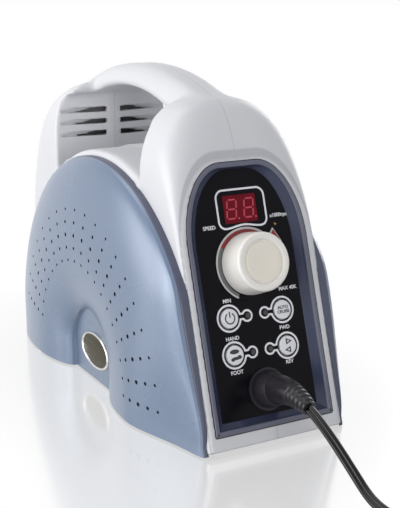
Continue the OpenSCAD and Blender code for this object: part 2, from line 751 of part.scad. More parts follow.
// Handpiece socket and plug
module at_socket(lift = 0) { on_panel(lift) translate([0, socket_v, 0]) children(); }
module pin_spots() {
    for (k = [0:pin_count - 1]) rotate(360 * k / pin_count) translate([pin_ring, 0, 0]) children();
}
module socket_shell() {
    color("dimgray") at_socket() difference() {
        union() {
            translate([0, 0, -socket_depth]) cylinder(r = socket_r, h = socket_depth + eps);
            cylinder(r = socket_r + 1, h = socket_flange);
        }
        translate([0, 0, -socket_depth + 2]) cylinder(r = socket_bore, h = socket_depth + 2);
    }
}
module socket_nut() {
    color("silver") at_socket(-panel_t - socket_nut_t) difference() {
        cylinder(r = socket_r + 2.2, h = socket_nut_t);
        translate([0, 0, -1]) cylinder(r = socket_r + run_gap, h = socket_nut_t + 2);
    }
}
module socket_insulator() {
    color("ivory") at_socket(-socket_depth + 2) difference() {
        cylinder(r = socket_bore - run_gap, h = 5);
        translate([0, 0, 1]) pin_spots() cylinder(r = pin_r + 0.05, h = 6);
    }
}
module plug_sleeve() {
    color("silver") at_socket(-socket_depth + 7.2) difference() {
        cylinder(r = socket_bore - 0.1, h = socket_depth - 7.2 + plug_start);
        translate([0, 0, -1]) cylinder(r = socket_bore - 1.1, h = socket_depth + 4);
    }
}
module plug_pins() {
    color("goldenrod") at_socket(-socket_depth + 3.5) pin_spots()
        cylinder(r = pin_r, h = socket_depth - 3.5 + plug_start);
}
module plug_body() {
    color([0.22, 0.21, 0.22]) at_socket(plug_start) rotate_extrude()
        polygon([[0, 0], [plug_r, 0], [plug_r, plug_band], [plug_tail_r, plug_len], [0, plug_len]]);
}
module plug_boot() { color([0.2, 0.19, 0.2]) tube(boot_path, boot_radii, boot_sides); }

// Cord
module cord_lead() {
    color([0.12, 0.11, 0.12]) tube(lead_path, [for (p = lead_path) cord_d / 2], cord_sides);
}
module cord_coil() {
    color([0.12, 0.11, 0.12]) tube(coil_path, [for (p = coil_path) cord_d / 2], coil_sides);
}
module cord_tail() {
    color([0.12, 0.11, 0.12]) tube(tail_path, [for (p = tail_path) cord_d / 2], cord_sides);
}
module cord_tie() {
    in_r = coil_inner - cord_d / 2 - tie_gap;
    out_r = coil_r + cord_d / 2 + tie_gap;
    high = coil_low_z + coil_pitch + cord_d / 2 + tie_gap;
    color("dimgray") translate([coil_x, coil_y, 0]) rotate(tie_angle) translate([0, tie_w / 2, 0])
        rotate([90, 0, 0]) linear_extrude(tie_w) difference() {
            translate([in_r - tie_t, 0]) square([out_r - in_r + 2 * tie_t, high + tie_t]);
            translate([in_r, tie_t]) square([out_r - in_r, high - tie_t]);
        }
}

// Motor handpiece
module handpiece_boot() {
    ribs = 4;
    step = (hand_boot_l - 6) / ribs;
    color("dimgray") on_handpiece() rotate_extrude() polygon(concat([[0, 0], [cord_d / 2 + 0.8, 0]],
        [for (k = [0:ribs - 1]) let (z = k * step, r = cord_d / 2 + 1.2 + 0.6 * k)
            each [[r + 0.6, z + 0.8], [r + 0.6, z + step / 2], [r, z + step / 2 + 0.4], [r, z + step]]],
        [[8, hand_boot_l - 6], [8, hand_boot_l], [0, hand_boot_l]]));
}
module handpiece_rear_cap() {
    color("dimgray") on_handpiece(hand_boot_l) difference() {
        rotate_extrude() polygon([[0, 0], [8.6, 0], [sleeve_r - 2, 3], [sleeve_r - 0.5, 6],
            [sleeve_r - 0.5, hand_cap_l], [0, hand_cap_l]]);
        translate([0, 0, 3]) cylinder(r = motor_shaft_r + 2, h = hand_cap_l);
    }
}
module motor_sleeve() {
    color("silver") on_handpiece(sleeve_y) difference() {
        cylinder(r = sleeve_r, h = sleeve_l);
        translate([0, 0, -1]) cylinder(r = sleeve_r - hand_wall, h = sleeve_l + 2);
    }
}
module motor_stator() {
    color("goldenrod") on_handpiece(sleeve_y + bearing_t + 2) difference() {
        cylinder(r = sleeve_r - hand_wall - run_gap, h = sleeve_l - 2 * bearing_t - 4);
        translate([0, 0, -1]) cylinder(r = sleeve_r - hand_wall - stator_wall, h = sleeve_l);
    }
}
module motor_rotor() {
    rotor_r = sleeve_r - hand_wall - stator_wall - rotor_gap;
    color("dimgray") {
        on_handpiece(sleeve_y + bearing_t + 2 + end_play)
            cylinder(r = rotor_r, h = sleeve_l - 2 * bearing_t - 4 - 2 * end_play);
        on_handpiece(sleeve_y - 4) cylinder(r = motor_shaft_r, h = sleeve_l + 4 - 2);
    }
}
module bearing() {
    difference() {
        cylinder(r = sleeve_r - hand_wall - run_gap, h = bearing_t);
        translate([0, 0, -1]) cylinder(r = motor_shaft_r + run_gap, h = bearing_t + 2);
    }
}
module rear_bearing() { color("silver") on_handpiece(sleeve_y) bearing(); }
module front_bearing() { color("silver") on_handpiece(chuck_y - bearing_t) bearing(); }
module chuck_ring() {
    color("dimgray") on_handpiece(chuck_y + move_gap) difference() {
        cylinder(r = sleeve_r - 0.5, h = chuck_l - 2 * move_gap);
        translate([0, 0, -1]) cylinder(r = chuck_core_r + run_gap, h = chuck_l + 2);
        for (k = [0:11]) rotate(30 * k) translate([sleeve_r + 0.3, 0, 1.5])
            cylinder(r = 1.6, h = chuck_l - 2 * move_gap - 3);
    }
}
module handpiece_nose() {
    color("silver") on_handpiece(chuck_y) difference() {
        union() {
            cylinder(r = chuck_core_r, h = chuck_l + 1);
            translate([0, 0, chuck_l]) rotate_extrude() polygon([[0, 0], [sleeve_r - 1, 0], [sleeve_r - 1, 2],
                [sleeve_r - 4, 5], [nose_tip_r + 1.5, nose_l - 5], [nose_tip_r, nose_l], [0, nose_l]]);
        }
        translate([0, 0, -1]) cylinder(r = motor_shaft_r + run_gap, h = chuck_l + nose_l + 2);
    }
}
module collet_spindle() {
    color("silver") on_handpiece(chuck_y - 2) difference() {
        union() {
            cylinder(r = motor_shaft_r, h = nose_end - chuck_y + 2 + collet_out);
            translate([0, 0, nose_end - chuck_y + 2 + move_gap])
                cylinder(r = motor_shaft_r + 0.8, h = collet_out - 1.5);
        }
        translate([0, 0, nose_end - chuck_y + 2 + collet_out - collet_depth])
            cylinder(r = collet_r, h = collet_depth + 1);
    }
}

// Base, power supply and rear fittings
module base_plate() {
    hw = half_w - wall - fit_gap;
    lip = 5;
    front = front_y + 1;
    rear = rear_y - wall - fit_gap;
    color("gray") difference() {
        translate([0, 0, base_z]) linear_extrude(base_t) polygon(concat(
            [[-hw + lip, front], [hw - lip, front], [hw, front + 3 * lip]],
            corner([hw - rear_corner_r, rear - rear_corner_r], rear_corner_r, 0),
            corner([-hw + rear_corner_r, rear - rear_corner_r], rear_corner_r, 90),
            [[-hw, front + 3 * lip]]));
        corners(boss_x, boss_y) translate([0, 0, base_z - 1]) {
            cylinder(r = screw_r + fit_gap, h = base_t + 2);
            cylinder(r = screw_head_r + fit_gap, h = screw_head_t + 1);
        }
    }
}
module rubber_feet() { color("black") corners(foot_x, foot_y) cylinder(r = foot_r, h = base_z); }
module base_screws() {
    color("silver") corners(boss_x, boss_y) translate([0, 0, base_z]) {
        cylinder(r = screw_head_r, h = screw_head_t);
        cylinder(r = screw_r, h = base_t + boss_h / 2 - 1);
    }
}
core_y = 22;
core_limb = 18;
core_window = [10, 30];
module transformer_core() {
    color("dimgray") translate([0, core_y + core_d / 2, deck_z]) rotate([90, 0, 0]) linear_extrude(core_d)
        difference() {
            translate([-core_w / 2, 0]) square([core_w, core_h]);
            for (s = [-1, 1]) translate([s * (core_limb + core_window[0]) / 2, core_h / 2])
                square(core_window, center = true);
        }
}
module transformer_winding() {
    w = core_limb + 2 * core_window[0] - 2 * fit_gap;
    h = core_window[1] - 2 * fit_gap;
    color("peru") translate([0, core_y, deck_z + core_h / 2]) difference() {
        cube([w, core_d + 2 * core_window[0], h], center = true);
        cube([core_limb + 2 * fit_gap, core_d + 2 * fit_gap, core_h], center = true);
    }
}
module mains_inlet() {
    wall_t = 1.5;
    color("black") on_rear(0, inlet_z) difference() {
        union() {
            translate([-inlet_w / 2, -inlet_h / 2, -inlet_depth]) cube([inlet_w, inlet_h, inlet_depth + eps]);
            translate([-inlet_w / 2 - 2, -inlet_h / 2 - 2, 0]) cube([inlet_w + 4, inlet_h + 4, inlet_flange]);
        }
        translate([-inlet_w / 2 + wall_t, -inlet_h / 2 + wall_t, -inlet_depth + wall_t])
            cube([inlet_w - 2 * wall_t, inlet_h - 2 * wall_t, inlet_depth + inlet_flange]);
    }
}
inlet_pin_spots = [[-7, 2], [0, -2], [7, 2]];
module inlet_pins() {
    color("silver") on_rear(0, inlet_z) for (p = inlet_pin_spots)
        translate([p[0] - 1, p[1] - 2, -inlet_depth + 1.5]) cube([2, 4, inlet_depth - 4]);
}
module fuse_cap() {
    color("black") on_rear(-jack_x, rear_jack_z) union() {
        translate([0, 0, -20]) cylinder(r = jack_r + 1.5, h = 20 + eps);
        cylinder(r = jack_r + 3, h = 5);
    }
}
module foot_socket() {
    color("black") on_rear(jack_x, rear_jack_z) difference() {
        union() {
            translate([0, 0, -16]) cylinder(r = jack_r + 1.5, h = 16 + eps);
            cylinder(r = jack_r + 3, h = 2);
        }
        translate([0, 0, -14]) cylinder(r = jack_r, h = 20);
    }
}
rocker_axis = 4;
module rocker_frame() {
    inner = [rocker_w - 3, rocker_h - 3];
    color("black") on_rear(0, rocker_z) difference() {
        union() {
            translate([-rocker_w / 2, -rocker_h / 2, -14]) cube([rocker_w, rocker_h, 14 + eps]);
            translate([-rocker_w / 2 - 2, -rocker_h / 2 - 2, 0]) cube([rocker_w + 4, rocker_h + 4, 2]);
        }
        translate([-inner[0] / 2, -inner[1] / 2, -12]) cube([inner[0], inner[1], 20]);
        translate([-rocker_w, 0, -rocker_axis]) rotate([0, 90, 0])
            cylinder(r = 1 + run_gap, h = 2 * rocker_w);
    }
}
module power_rocker() {
    w = rocker_w - 3 - 2 * move_gap;
    color([0.15, 0.15, 0.16]) on_rear(0, rocker_z) translate([0, 0, -rocker_axis]) {
        intersection() {
            rotate([0, 90, 0]) cylinder(r = (rocker_h - 3) / 2 - move_gap, h = w, center = true);
            translate([-w, -rocker_h, -far]) cube([2 * w, 2 * rocker_h, far + 3]);
        }
        translate([-w / 2, -(rocker_h - 3) / 2 + 1.2, 0]) cube([w, rocker_h - 3 - 2.4, rocker_axis + 2]);
        rotate([0, 90, 0]) cylinder(r = 1, h = rocker_w, center = true);
    }
}

left_body_shell();
right_body_shell();
left_side_cover();
right_side_cover();
badge_rims();
badge_plates();
trim_frame();
front_panel();
display_window();
display_module();
display_digits();
dial_ring();
speed_knob();
knob_cap();
pot_body();
pot_nut();
pot_shaft();
power_button();
cruise_button();
hand_foot_button();
direction_button();
tact_switches();
indicator_lamps();
control_board();
board_posts();
socket_shell();
socket_nut();
socket_insulator();
plug_sleeve();
plug_pins();
plug_body();
plug_boot();
cord_lead();
cord_coil();
cord_tie();
cord_tail();
handpiece_boot();
handpiece_rear_cap();
motor_sleeve();
motor_stator();
motor_rotor();
rear_bearing();
front_bearing();
chuck_ring();
handpiece_nose();
collet_spindle();
base_plate();
rubber_feet();
base_screws();
transformer_core();
transformer_winding();
mains_inlet();
inlet_pins();
fuse_cap();
rocker_frame();
power_rocker();
foot_socket();
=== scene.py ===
"""Looks of a dental micromotor: its desk control unit, its corded motor handpiece and the studio.

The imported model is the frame. Lengths are millimetres in the model's own axes, +X to the right as seen from
the front, +Y to the back and +Z up. They become metres where a mesh is made.
"""
import logging
import math
from dataclasses import dataclass
from enum import Enum
from typing import Callable, Iterable, Sequence

import bmesh
import bpy
import numpy as np
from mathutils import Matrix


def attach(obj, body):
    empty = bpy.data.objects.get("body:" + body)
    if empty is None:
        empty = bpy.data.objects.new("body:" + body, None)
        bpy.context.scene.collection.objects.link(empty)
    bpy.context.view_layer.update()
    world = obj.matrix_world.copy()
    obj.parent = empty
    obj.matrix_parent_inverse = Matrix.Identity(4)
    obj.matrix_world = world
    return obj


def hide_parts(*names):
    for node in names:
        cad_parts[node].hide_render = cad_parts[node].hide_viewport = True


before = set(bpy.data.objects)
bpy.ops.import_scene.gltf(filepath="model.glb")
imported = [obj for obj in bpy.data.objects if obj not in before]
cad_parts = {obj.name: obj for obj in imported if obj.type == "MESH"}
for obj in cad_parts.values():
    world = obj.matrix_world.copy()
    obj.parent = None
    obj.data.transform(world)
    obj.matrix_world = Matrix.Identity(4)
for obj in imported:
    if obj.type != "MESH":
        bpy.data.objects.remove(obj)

Array = np.ndarray
Field = Callable[[Array, Array, Array], Array]

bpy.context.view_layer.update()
LOG = logging.getLogger("micromotor")
MM = 0.001
UNIT = "unit"
# Sockets of a Mix node that blends two colours
MIX_A, MIX_B, MIX_OUT = 6, 7, 2


def srgb(code: str) -> tuple[float, ...]:
    """Turns an sRGB colour to linear light.

    Args:
        code: Hex code such as "#e8e9ed".

    Returns:
        Linear red, green and blue, and an alpha of 1.
    """
    channel = np.array([int(code[i:i + 2], 16) for i in (1, 3, 5)]) / 255
    linear = np.where(channel <= 0.04045, channel / 12.92, ((channel + 0.055) / 1.055) ** 2.4)
    return (*linear.tolist(), 1.0)


def add_node(tree: bpy.types.NodeTree, kind: str, settings: dict | None = None,
             links: dict | None = None) -> bpy.types.Node:
    """Adds a shader node.

    Args:
        tree: Node tree that gets the node.
        kind: Type of the node.
        settings: Values by attribute name or by input socket.
        links: Output sockets by the input socket that they feed.

    Returns:
        The new node.
    """
    node = tree.nodes.new(kind)
    for key, value in (settings or {}).items():
        if isinstance(key, str) and hasattr(node, key):
            setattr(node, key, value)
        else:
            node.inputs[key].default_value = value
    for key, output in (links or {}).items():
        tree.links.new(output, node.inputs[key])
    return node


@dataclass(frozen=True)
class Finish:
    """A surface: what it is made of and how, with its colour, gloss and grain.

    The colour drifts towards a shade over the mottle's size, the gloss drifts over the same cloud, and a
    bump of the grain's size and height roughens the face. A grain that is finer in life is drawn at 0.3 mm
    or more, so that it shows. A seam is a thin line on a plane, given by the plane's facing and its reach
    from the origin.
    """

    name: str
    colour: str
    shade: str
    roughness: float = 0.4
    gloss_drift: float = 0.05
    metallic: float = 0.0
    ior: float = 1.5
    coat: float = 0.0
    coat_roughness: float = 0.08
    grain_mm: float = 0.7
    grain_height_mm: float = 0.012
    mottle_mm: float = 28.0
    stretch: tuple[float, float, float] = (1.0, 1.0, 1.0)
    transmission: float = 0.0
    glow: str = ""
    glow_strength: float = 0.0
    seams: tuple[tuple[tuple[float, float, float], float], ...] = ()
    seam_mm: float = 0.22
    seam_shade: str = "#b9babf"
    cloud_detail: float = 3.0
    grain_detail: float = 2.0
    bump_strength: float = 0.6
    least_roughness: float = 0.02

    def material(self) -> bpy.types.Material:
        """The material of this finish, made once."""
        found = bpy.data.materials.get(self.name)
        return found or self._make()

    def _make(self) -> bpy.types.Material:
        """Builds the node tree: a soft cloud for colour and gloss, and a fine grain for the bump.

        Returns:
            The new material.
        """
        material = bpy.data.materials.new(self.name)
        material.use_nodes = True
        tree = material.node_tree
        shader = tree.nodes["Principled BSDF"]
        shader.inputs["Metallic"].default_value = self.metallic
        if self.metallic < 1:
            shader.inputs["IOR"].default_value = self.ior
        shader.inputs["Coat Weight"].default_value = self.coat
        shader.inputs["Coat Roughness"].default_value = self.coat_roughness
        shader.inputs["Transmission Weight"].default_value = self.transmission
        if self.glow:
            shader.inputs["Emission Color"].default_value = srgb(self.glow)
            shader.inputs["Emission Strength"].default_value = self.glow_strength
        place = add_node(tree, "ShaderNodeTexCoord")
        scaled = add_node(tree, "ShaderNodeMapping", {"Scale": self.stretch},
                          {"Vector": place.outputs["Object"]})
        cloud = add_node(tree, "ShaderNodeTexNoise",
                         {"Scale": 1 / (self.mottle_mm * MM), "Detail": self.cloud_detail},
                         {"Vector": scaled.outputs[0]})
        tint = add_node(tree, "ShaderNodeMix",
                        {"data_type": "RGBA", MIX_A: srgb(self.colour), MIX_B: srgb(self.shade)},
                        {"Factor": cloud.outputs["Fac"]})
        gloss = add_node(tree, "ShaderNodeMapRange",
                         {"To Min": max(self.least_roughness, self.roughness - self.gloss_drift),
                          "To Max": self.roughness + self.gloss_drift}, {"Value": cloud.outputs["Fac"]})
        grain = add_node(tree, "ShaderNodeTexNoise",
                         {"Scale": 1 / (self.grain_mm * MM), "Detail": self.grain_detail},
                         {"Vector": scaled.outputs[0]})
        bump = add_node(tree, "ShaderNodeBump",
                        {"Strength": self.bump_strength, "Distance": self.grain_height_mm * MM},
                        {"Height": grain.outputs["Fac"]})
        colour = tint.outputs[MIX_OUT]
        for facing, reach in self.seams:
            along = add_node(tree, "ShaderNodeVectorMath", {"operation": "DOT_PRODUCT", 1: facing},
                             {0: place.outputs["Object"]})
            shift = add_node(tree, "ShaderNodeMath", {"operation": "SUBTRACT", 1: reach * MM},
                             {0: along.outputs["Value"]})
            off = add_node(tree, "ShaderNodeMath", {"operation": "ABSOLUTE"}, {0: shift.outputs[0]})
            clear = add_node(tree, "ShaderNodeMapRange",
                             {"From Min": self.seam_mm * MM / 2, "From Max": self.seam_mm * MM},
                             {"Value": off.outputs[0]})
            colour = add_node(tree, "ShaderNodeMix", {"data_type": "RGBA", MIX_A: srgb(self.seam_shade)},
                              {"Factor": clear.outputs[0], MIX_B: colour}).outputs[MIX_OUT]
        tree.links.new(colour, shader.inputs["Base Color"])
        tree.links.new(gloss.outputs[0], shader.inputs["Roughness"])
        tree.links.new(bump.outputs[0], shader.inputs["Normal"])
        return material


class Look(Enum):
    """The finishes of this object."""

    # Moulded ABS, spark-eroded to a fine satin: soft highlights, a faintly uneven gloss and thin lines
    # where the halves meet and where the front edge was trimmed. On the hood the front line spreads
    # into a soft grey band: painted shade of the brow's crease
    SHELL = Finish("white_abs_satin", "#d7d7d9", "#d1d1d4", 0.38, 0.05, ior=1.44, grain_mm=0.9,
                   grain_height_mm=0.010, seams=(((1.0, 0.0, 0.0), 0.0), ((0.0, -0.95266, 0.30403), 108.9)))
    # ABS sprayed with a pearl-blue lacquer: fine flake under a clear, slightly soft coat
    COVER = Finish("blue_pearl_lacquer", "#687992", "#62738b", 0.28, 0.03, 0.1, ior=1.5, coat=0.4,
                   coat_roughness=0.28, grain_mm=0.5, grain_height_mm=0.008)
    # The cover's lacquer on its rim wall, drawn darker in the slate of the trim: painted shade
    COVER_RIM_SHADE = Finish("cover_rim_painted_shade", "#565a6c", "#4f5365", 0.32, 0.04, ior=1.4, grain_mm=0.5)
    # Moulded ABS in slate, polished: clear reflections on its lip. Its inner slope is the same slate drawn in
    # a deeper navy: painted shade
    TRIM = Finish("slate_abs_polished", "#6a6c7b", "#636574", 0.26, 0.04, ior=1.4, grain_mm=0.8,
                  grain_height_mm=0.006)
    TRIM_SLOPE_SHADE = Finish("slate_slope_painted_shade", "#3d435a", "#363c52", 0.22, 0.04, ior=1.4, grain_mm=0.8,
                        grain_height_mm=0.006)
    # Painted shade: a dark sheet for the shadow in the gap round the slate frame and inside the cover's holes
    JOINT_SHADE = Finish("painted_joint_shade", "#26272e", "#1f2026", 0.8)
    # Printed polyester film over a flat plate: deep black with a clear gloss
    PANEL = Finish("black_film_gloss", "#050408", "#111017", 0.2, 0.03, ior=1.18, grain_mm=1.6,
                   grain_height_mm=0.004, mottle_mm=14)
    # Screen ink: flat and slightly dry
    INK_WHITE = Finish("white_screen_ink", "#ececee", "#e4e4e8", 0.55, grain_mm=0.3)
    INK_RED = Finish("red_screen_ink", "#8e2a26", "#74201f", 0.5, grain_mm=0.3, mottle_mm=6)
    INK_GREY = Finish("grey_screen_ink", "#6a6c6c", "#5c5e5f", 0.5, grain_mm=0.3, mottle_mm=8)
    INK_PALE = Finish("pale_screen_ink", "#c9c8c6", "#b4b4b3", 0.5, grain_mm=0.3, mottle_mm=8)
    INK_DARK = Finish("dark_screen_ink", "#26272c", "#1f2025", 0.6, grain_mm=0.3)
    INK_GOLD = Finish("gold_screen_ink", "#a58a3c", "#8d7430", 0.45, grain_mm=0.3)
    # Red-tinted acrylic: clear and glossy, it darkens what lies behind it
    WINDOW = Finish("red_tinted_acrylic", "#760c20", "#660a1b", 0.1, 0.02, ior=1.2, grain_mm=2.0,
                    grain_height_mm=0.002)
    # Segment diffusers of the display, lit low
    SEGMENT = Finish("display_segment_red", "#b83a4c", "#ac3243", 0.4, glow="#b02c40", glow_strength=0.12)
    # Moulded ABS in warm white with a fine matt skin
    KNOB = Finish("ivory_abs_matt", "#f2efe9", "#ede9e1", 0.42, 0.04, grain_mm=0.6)
    KNOB_FACE = Finish("ivory_abs_cap", "#f0eadd", "#eae4d5", 0.38, 0.04, grain_mm=0.6)
    # Silicone keys: soft and faintly dusty
    KEY = Finish("key_silicone_grey", "#e9e9ec", "#e2e2e6", 0.5, 0.05, grain_mm=0.4)
    # Cast epoxy of the lamps, dark when unlit
    LAMP = Finish("lamp_epoxy_smoke", "#121013", "#0d0b0e", 0.14, 0.02, coat=0.5)
    # Glass-filled nylon, dark and satin
    NYLON = Finish("dark_nylon_satin", "#29262c", "#222027", 0.42, 0.06, ior=1.36, grain_mm=0.5,
                   grain_height_mm=0.02)
    # Soft PVC: the drawn cord shines along its strands, the moulded boots are satin
    CORD = Finish("black_pvc_cord", "#060506", "#0b0a0a", 0.1, 0.02, ior=1.33,
                  grain_mm=0.9, grain_height_mm=0.01, mottle_mm=9)
    BOOT = Finish("black_pvc_boot", "#211f22", "#28252a", 0.3, 0.02, ior=1.36, grain_mm=0.9,
                  grain_height_mm=0.006, mottle_mm=9)
    # Nitrile feet
    RUBBER = Finish("black_nitrile", "#1a1a1b", "#232324", 0.7, 0.06, grain_mm=0.8, grain_height_mm=0.03)
    # Woven hook-and-loop strap
    STRAP = Finish("grey_nylon_strap", "#4c4d52", "#3c3d42", 0.85, 0.05, grain_mm=0.8, grain_height_mm=0.12,
                   mottle_mm=2.5)
    # Turned and anodised aluminium, drawn round by the tool
    ALLOY = Finish("silver_anodised_alloy", "#a9abb0", "#9b9da2", 0.32, 0.06, 1.0, grain_mm=0.5,
                   grain_height_mm=0.006, mottle_mm=5, stretch=(0.4, 3.0, 0.4))
    # Ground tool steel
    STEEL = Finish("ground_steel", "#a9abae", "#96989c", 0.26, 0.06, 1.0, grain_mm=0.4, grain_height_mm=0.006,
                   mottle_mm=4)
    # Bright-plated zinc of the badge rim, and its brushed plate
    BRIGHT = Finish("bright_plated_zinc", "#d8d8d6", "#cdcdca", 0.12, 0.04, 1.0, grain_mm=1.2,
                    grain_height_mm=0.003)
    PLATE = Finish("brushed_badge_plate", "#4f4a33", "#302d20", 0.34, 0.08, 1.0, grain_mm=0.5,
                   grain_height_mm=0.01, mottle_mm=3, stretch=(1.0, 0.12, 2.0))
    # Enamelled copper and drawn brass
    COPPER = Finish("enamelled_copper", "#a8622f", "#8a4c22", 0.34, 0.08, 1.0, grain_mm=0.4,
                    grain_height_mm=0.03, mottle_mm=3)
    BRASS = Finish("drawn_brass", "#c2a04e", "#ad8c3f", 0.26, 0.05, 1.0, grain_mm=0.4, mottle_mm=3)
    # Solder mask over glass-fibre laminate
    BOARD = Finish("green_solder_mask", "#12502c", "#0d4224", 0.35, 0.06, grain_mm=0.6, mottle_mm=6)
    # Powder-coated sheet of the base
    BASE = Finish("grey_powder_coat", "#8b8d90", "#7e8084", 0.6, 0.05, grain_mm=0.9, grain_height_mm=0.04)


def dress(nodes: Iterable[str], look: Look) -> None:
    """Gives carried-over solids a finish.

    Args:
        nodes: Names of the solids.
        look: Their finish.
    """
    for name in nodes:
        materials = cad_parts[name].data.materials
        materials.clear()
        materials.append(look.value.material())
        LOG.info("%s keeps its solid, in %s", name, look.value.name)


def add_piece(name: str, points: Array, faces: Array | list, looks: Look | Sequence[Look], body: str = UNIT,
              stands_for: Sequence[str] = (), slot: str = "", sharp: float = 38.0,
              face_looks: Array | None = None) -> bpy.types.Object:
    """Makes a finished piece that rides on a body.

    Args:
        name: Name of the piece.
        points: Points in millimetres, any array whose last axis is 3 long.
        faces: Corner numbers of each face.
        looks: Finish, or finishes when faces choose among them.
        body: Body that the piece rides on.
        stands_for: Solids that it stands for.
        slot: Material slot of the record; not used.
        sharp: Angle in degrees past which an edge stays crisp.
        face_looks: Index of each face's finish.

    Returns:
        The piece.
    """
    mesh = bpy.data.meshes.new(name)
    mesh.from_pydata((np.asarray(points, float).reshape(-1, 3) * MM).tolist(), [],
                     faces if isinstance(faces, list) else faces.tolist())
    for look in ([looks] if isinstance(looks, Look) else looks):
        mesh.materials.append(look.value.material())
    if face_looks is not None:
        mesh.polygons.foreach_set("material_index", np.asarray(face_looks, np.int32))
    work = bmesh.new()
    work.from_mesh(mesh)
    bmesh.ops.remove_doubles(work, verts=work.verts, dist=1e-6)
    bmesh.ops.recalc_face_normals(work, faces=work.faces)
    work.to_mesh(mesh)
    work.free()
    mesh.shade_smooth()
    mesh.set_sharp_from_angle(angle=math.radians(sharp))
    piece = bpy.data.objects.new(name, mesh)
    bpy.context.scene.collection.objects.link(piece)
    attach(piece, body)
    if stands_for:
        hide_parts(*stands_for)
    LOG.info("%s: %d faces on %s", name, len(mesh.polygons), body)
    return piece


def grid_faces(rows: int, cols: int, wrap_rows: bool = False, wrap_cols: bool = False) -> Array:
    """Quads between neighbours on a grid of points that is stored row by row.

    Args:
        rows: Rows of the grid.
        cols: Points in a row.
        wrap_rows: Whether the last row joins the first.
        wrap_cols: Whether a row's last point joins its first.

    Returns:
        Four point numbers for each quad.
    """
    i, j = np.meshgrid(np.arange(rows - (not wrap_rows)), np.arange(cols - (not wrap_cols)), indexing="ij")
    i2, j2 = (i + 1) % rows, (j + 1) % cols
    return np.stack([i * cols + j, i * cols + j2, i2 * cols + j2, i2 * cols + j], -1).reshape(-1, 4)


def arc(start: float, end: float, steps: int) -> Array:
    """Unit vectors at even steps from one angle to another, in degrees."""
    angle = np.radians(np.linspace(start, end, steps))
    return np.stack([np.cos(angle), np.sin(angle)], -1)


def rounded(profile: Sequence[tuple[float, float, float]], steps: int = 5) -> Array:
    """A profile whose corners are rounded, each as a quadratic bend.

    Args:
        profile: Points as (radius, height, rounding).
        steps: Points along a bend.

    Returns:
        Points as (radius, height).
    """
    p = np.array(profile, float)
    out = [p[:1, :2]]
    t = np.linspace(0, 1, steps)[:, None]
    for before, here, after in zip(p[:-2], p[1:-1], p[2:]):
        a, b = before[:2] - here[:2], after[:2] - here[:2]
        start = here[:2] + a / np.linalg.norm(a) * min(here[2], np.linalg.norm(a) / 2)
        end = here[:2] + b / np.linalg.norm(b) * min(here[2], np.linalg.norm(b) / 2)
        out.append((1 - t) ** 2 * start + 2 * t * (1 - t) * here[:2] + t ** 2 * end)
    return np.concatenate(out + [p[-1:, :2]])


def soft_max(a: Array, b: Array, k: float) -> Array:
    """The larger of two fields, blended over a width k, which rounds the edge where they meet."""
    h = np.maximum(k - np.abs(a - b), 0) / k
    return np.maximum(a, b) + h * h * k / 4


def soft_min(a: Array, b: Array, k: float) -> Array:
    """The smaller of two fields, blended over a width k, which fills the corner where they meet."""
    return -soft_max(-a, -b, k)


def surface_net(values: Array, axes: Sequence[Array]) -> tuple[Array, Array]:
    """Quads through the zero of a field that was sampled on a box grid.

    Each cell that the surface crosses holds one point, the mean of the crossings on the cell's twelve edges,
    and each grid edge that changes sign joins the points of the four cells round it.

    Args:
        values: Field on the grid, negative inside.
        axes: The grid's coordinates along X, Y and Z.

    Returns:
        Points and quads.
    """
    inside = values < 0
    size = np.array(values.shape)
    corners = np.array(np.meshgrid([0, 1], [0, 1], [0, 1], indexing="ij")).reshape(3, -1).T
    count = sum(inside[tuple(slice(i, n - 1 + i) for i, n in zip(c, size))].astype(np.int8)
                for c in corners)
    active = (count > 0) & (count < 8)
    cells = np.argwhere(active)
    number = np.full(active.shape, -1)
    number[active] = np.arange(len(cells))
    total = np.zeros((len(cells), 3))
    hits = np.zeros((len(cells), 1))
    step = np.eye(3, dtype=int)
    quads = []
    for d in range(3):
        for corner in corners[corners[:, d] == 0]:
            low = cells + corner
            high = low + step[d]
            f0, f1 = values[tuple(low.T)], values[tuple(high.T)]
            cross = (f0 < 0) != (f1 < 0)
            share = np.where(cross, f0 / np.where(cross, f0 - f1, 1), 0)
            place = np.stack([axes[a][low[:, a]] for a in range(3)], -1)
            place[:, d] += share * (axes[d][high[:, d]] - axes[d][low[:, d]])
            total += cross[:, None] * place
            hits += cross[:, None]
        e, g = (d + 1) % 3, (d + 2) % 3
        first = np.take(inside, np.arange(size[d] - 1), d)
        change = first != np.take(inside, np.arange(1, size[d]), d)
        at = np.argwhere(change)
        at = at[(at[:, e] > 0) & (at[:, g] > 0) & (at[:, e] < size[e] - 1) & (at[:, g] < size[g] - 1)]
        ring = [at - step[e] - step[g], at - step[g], at, at - step[e]]
        quad = np.stack([number[tuple(r.T)] for r in ring], -1)
        quads.append(np.where(first[tuple(at.T)][:, None], quad, quad[:, ::-1]))
    return total / hits, np.concatenate(quads)


def settle(points: Array, field: Field, steps: int = 2) -> Array:
    """Moves points onto a field's zero along its slope, as Newton's rule does.

    Args:
        points: Points near the surface.
        field: Field whose zero is the surface.
        steps: Number of moves.

    Returns:
        The moved points.
    """
    reach, least, stride = 0.05, 0.05, 0.8
    for _ in range(steps):
        slope = np.stack([(field(*(points + reach * e).T) - field(*(points - reach * e).T)) / (2 * reach)
                          for e in np.eye(3)], -1)
        square = np.maximum((slope ** 2).sum(-1), least)
        points = points - np.clip(field(*points.T) / square, -stride, stride)[:, None] * slope
    return points


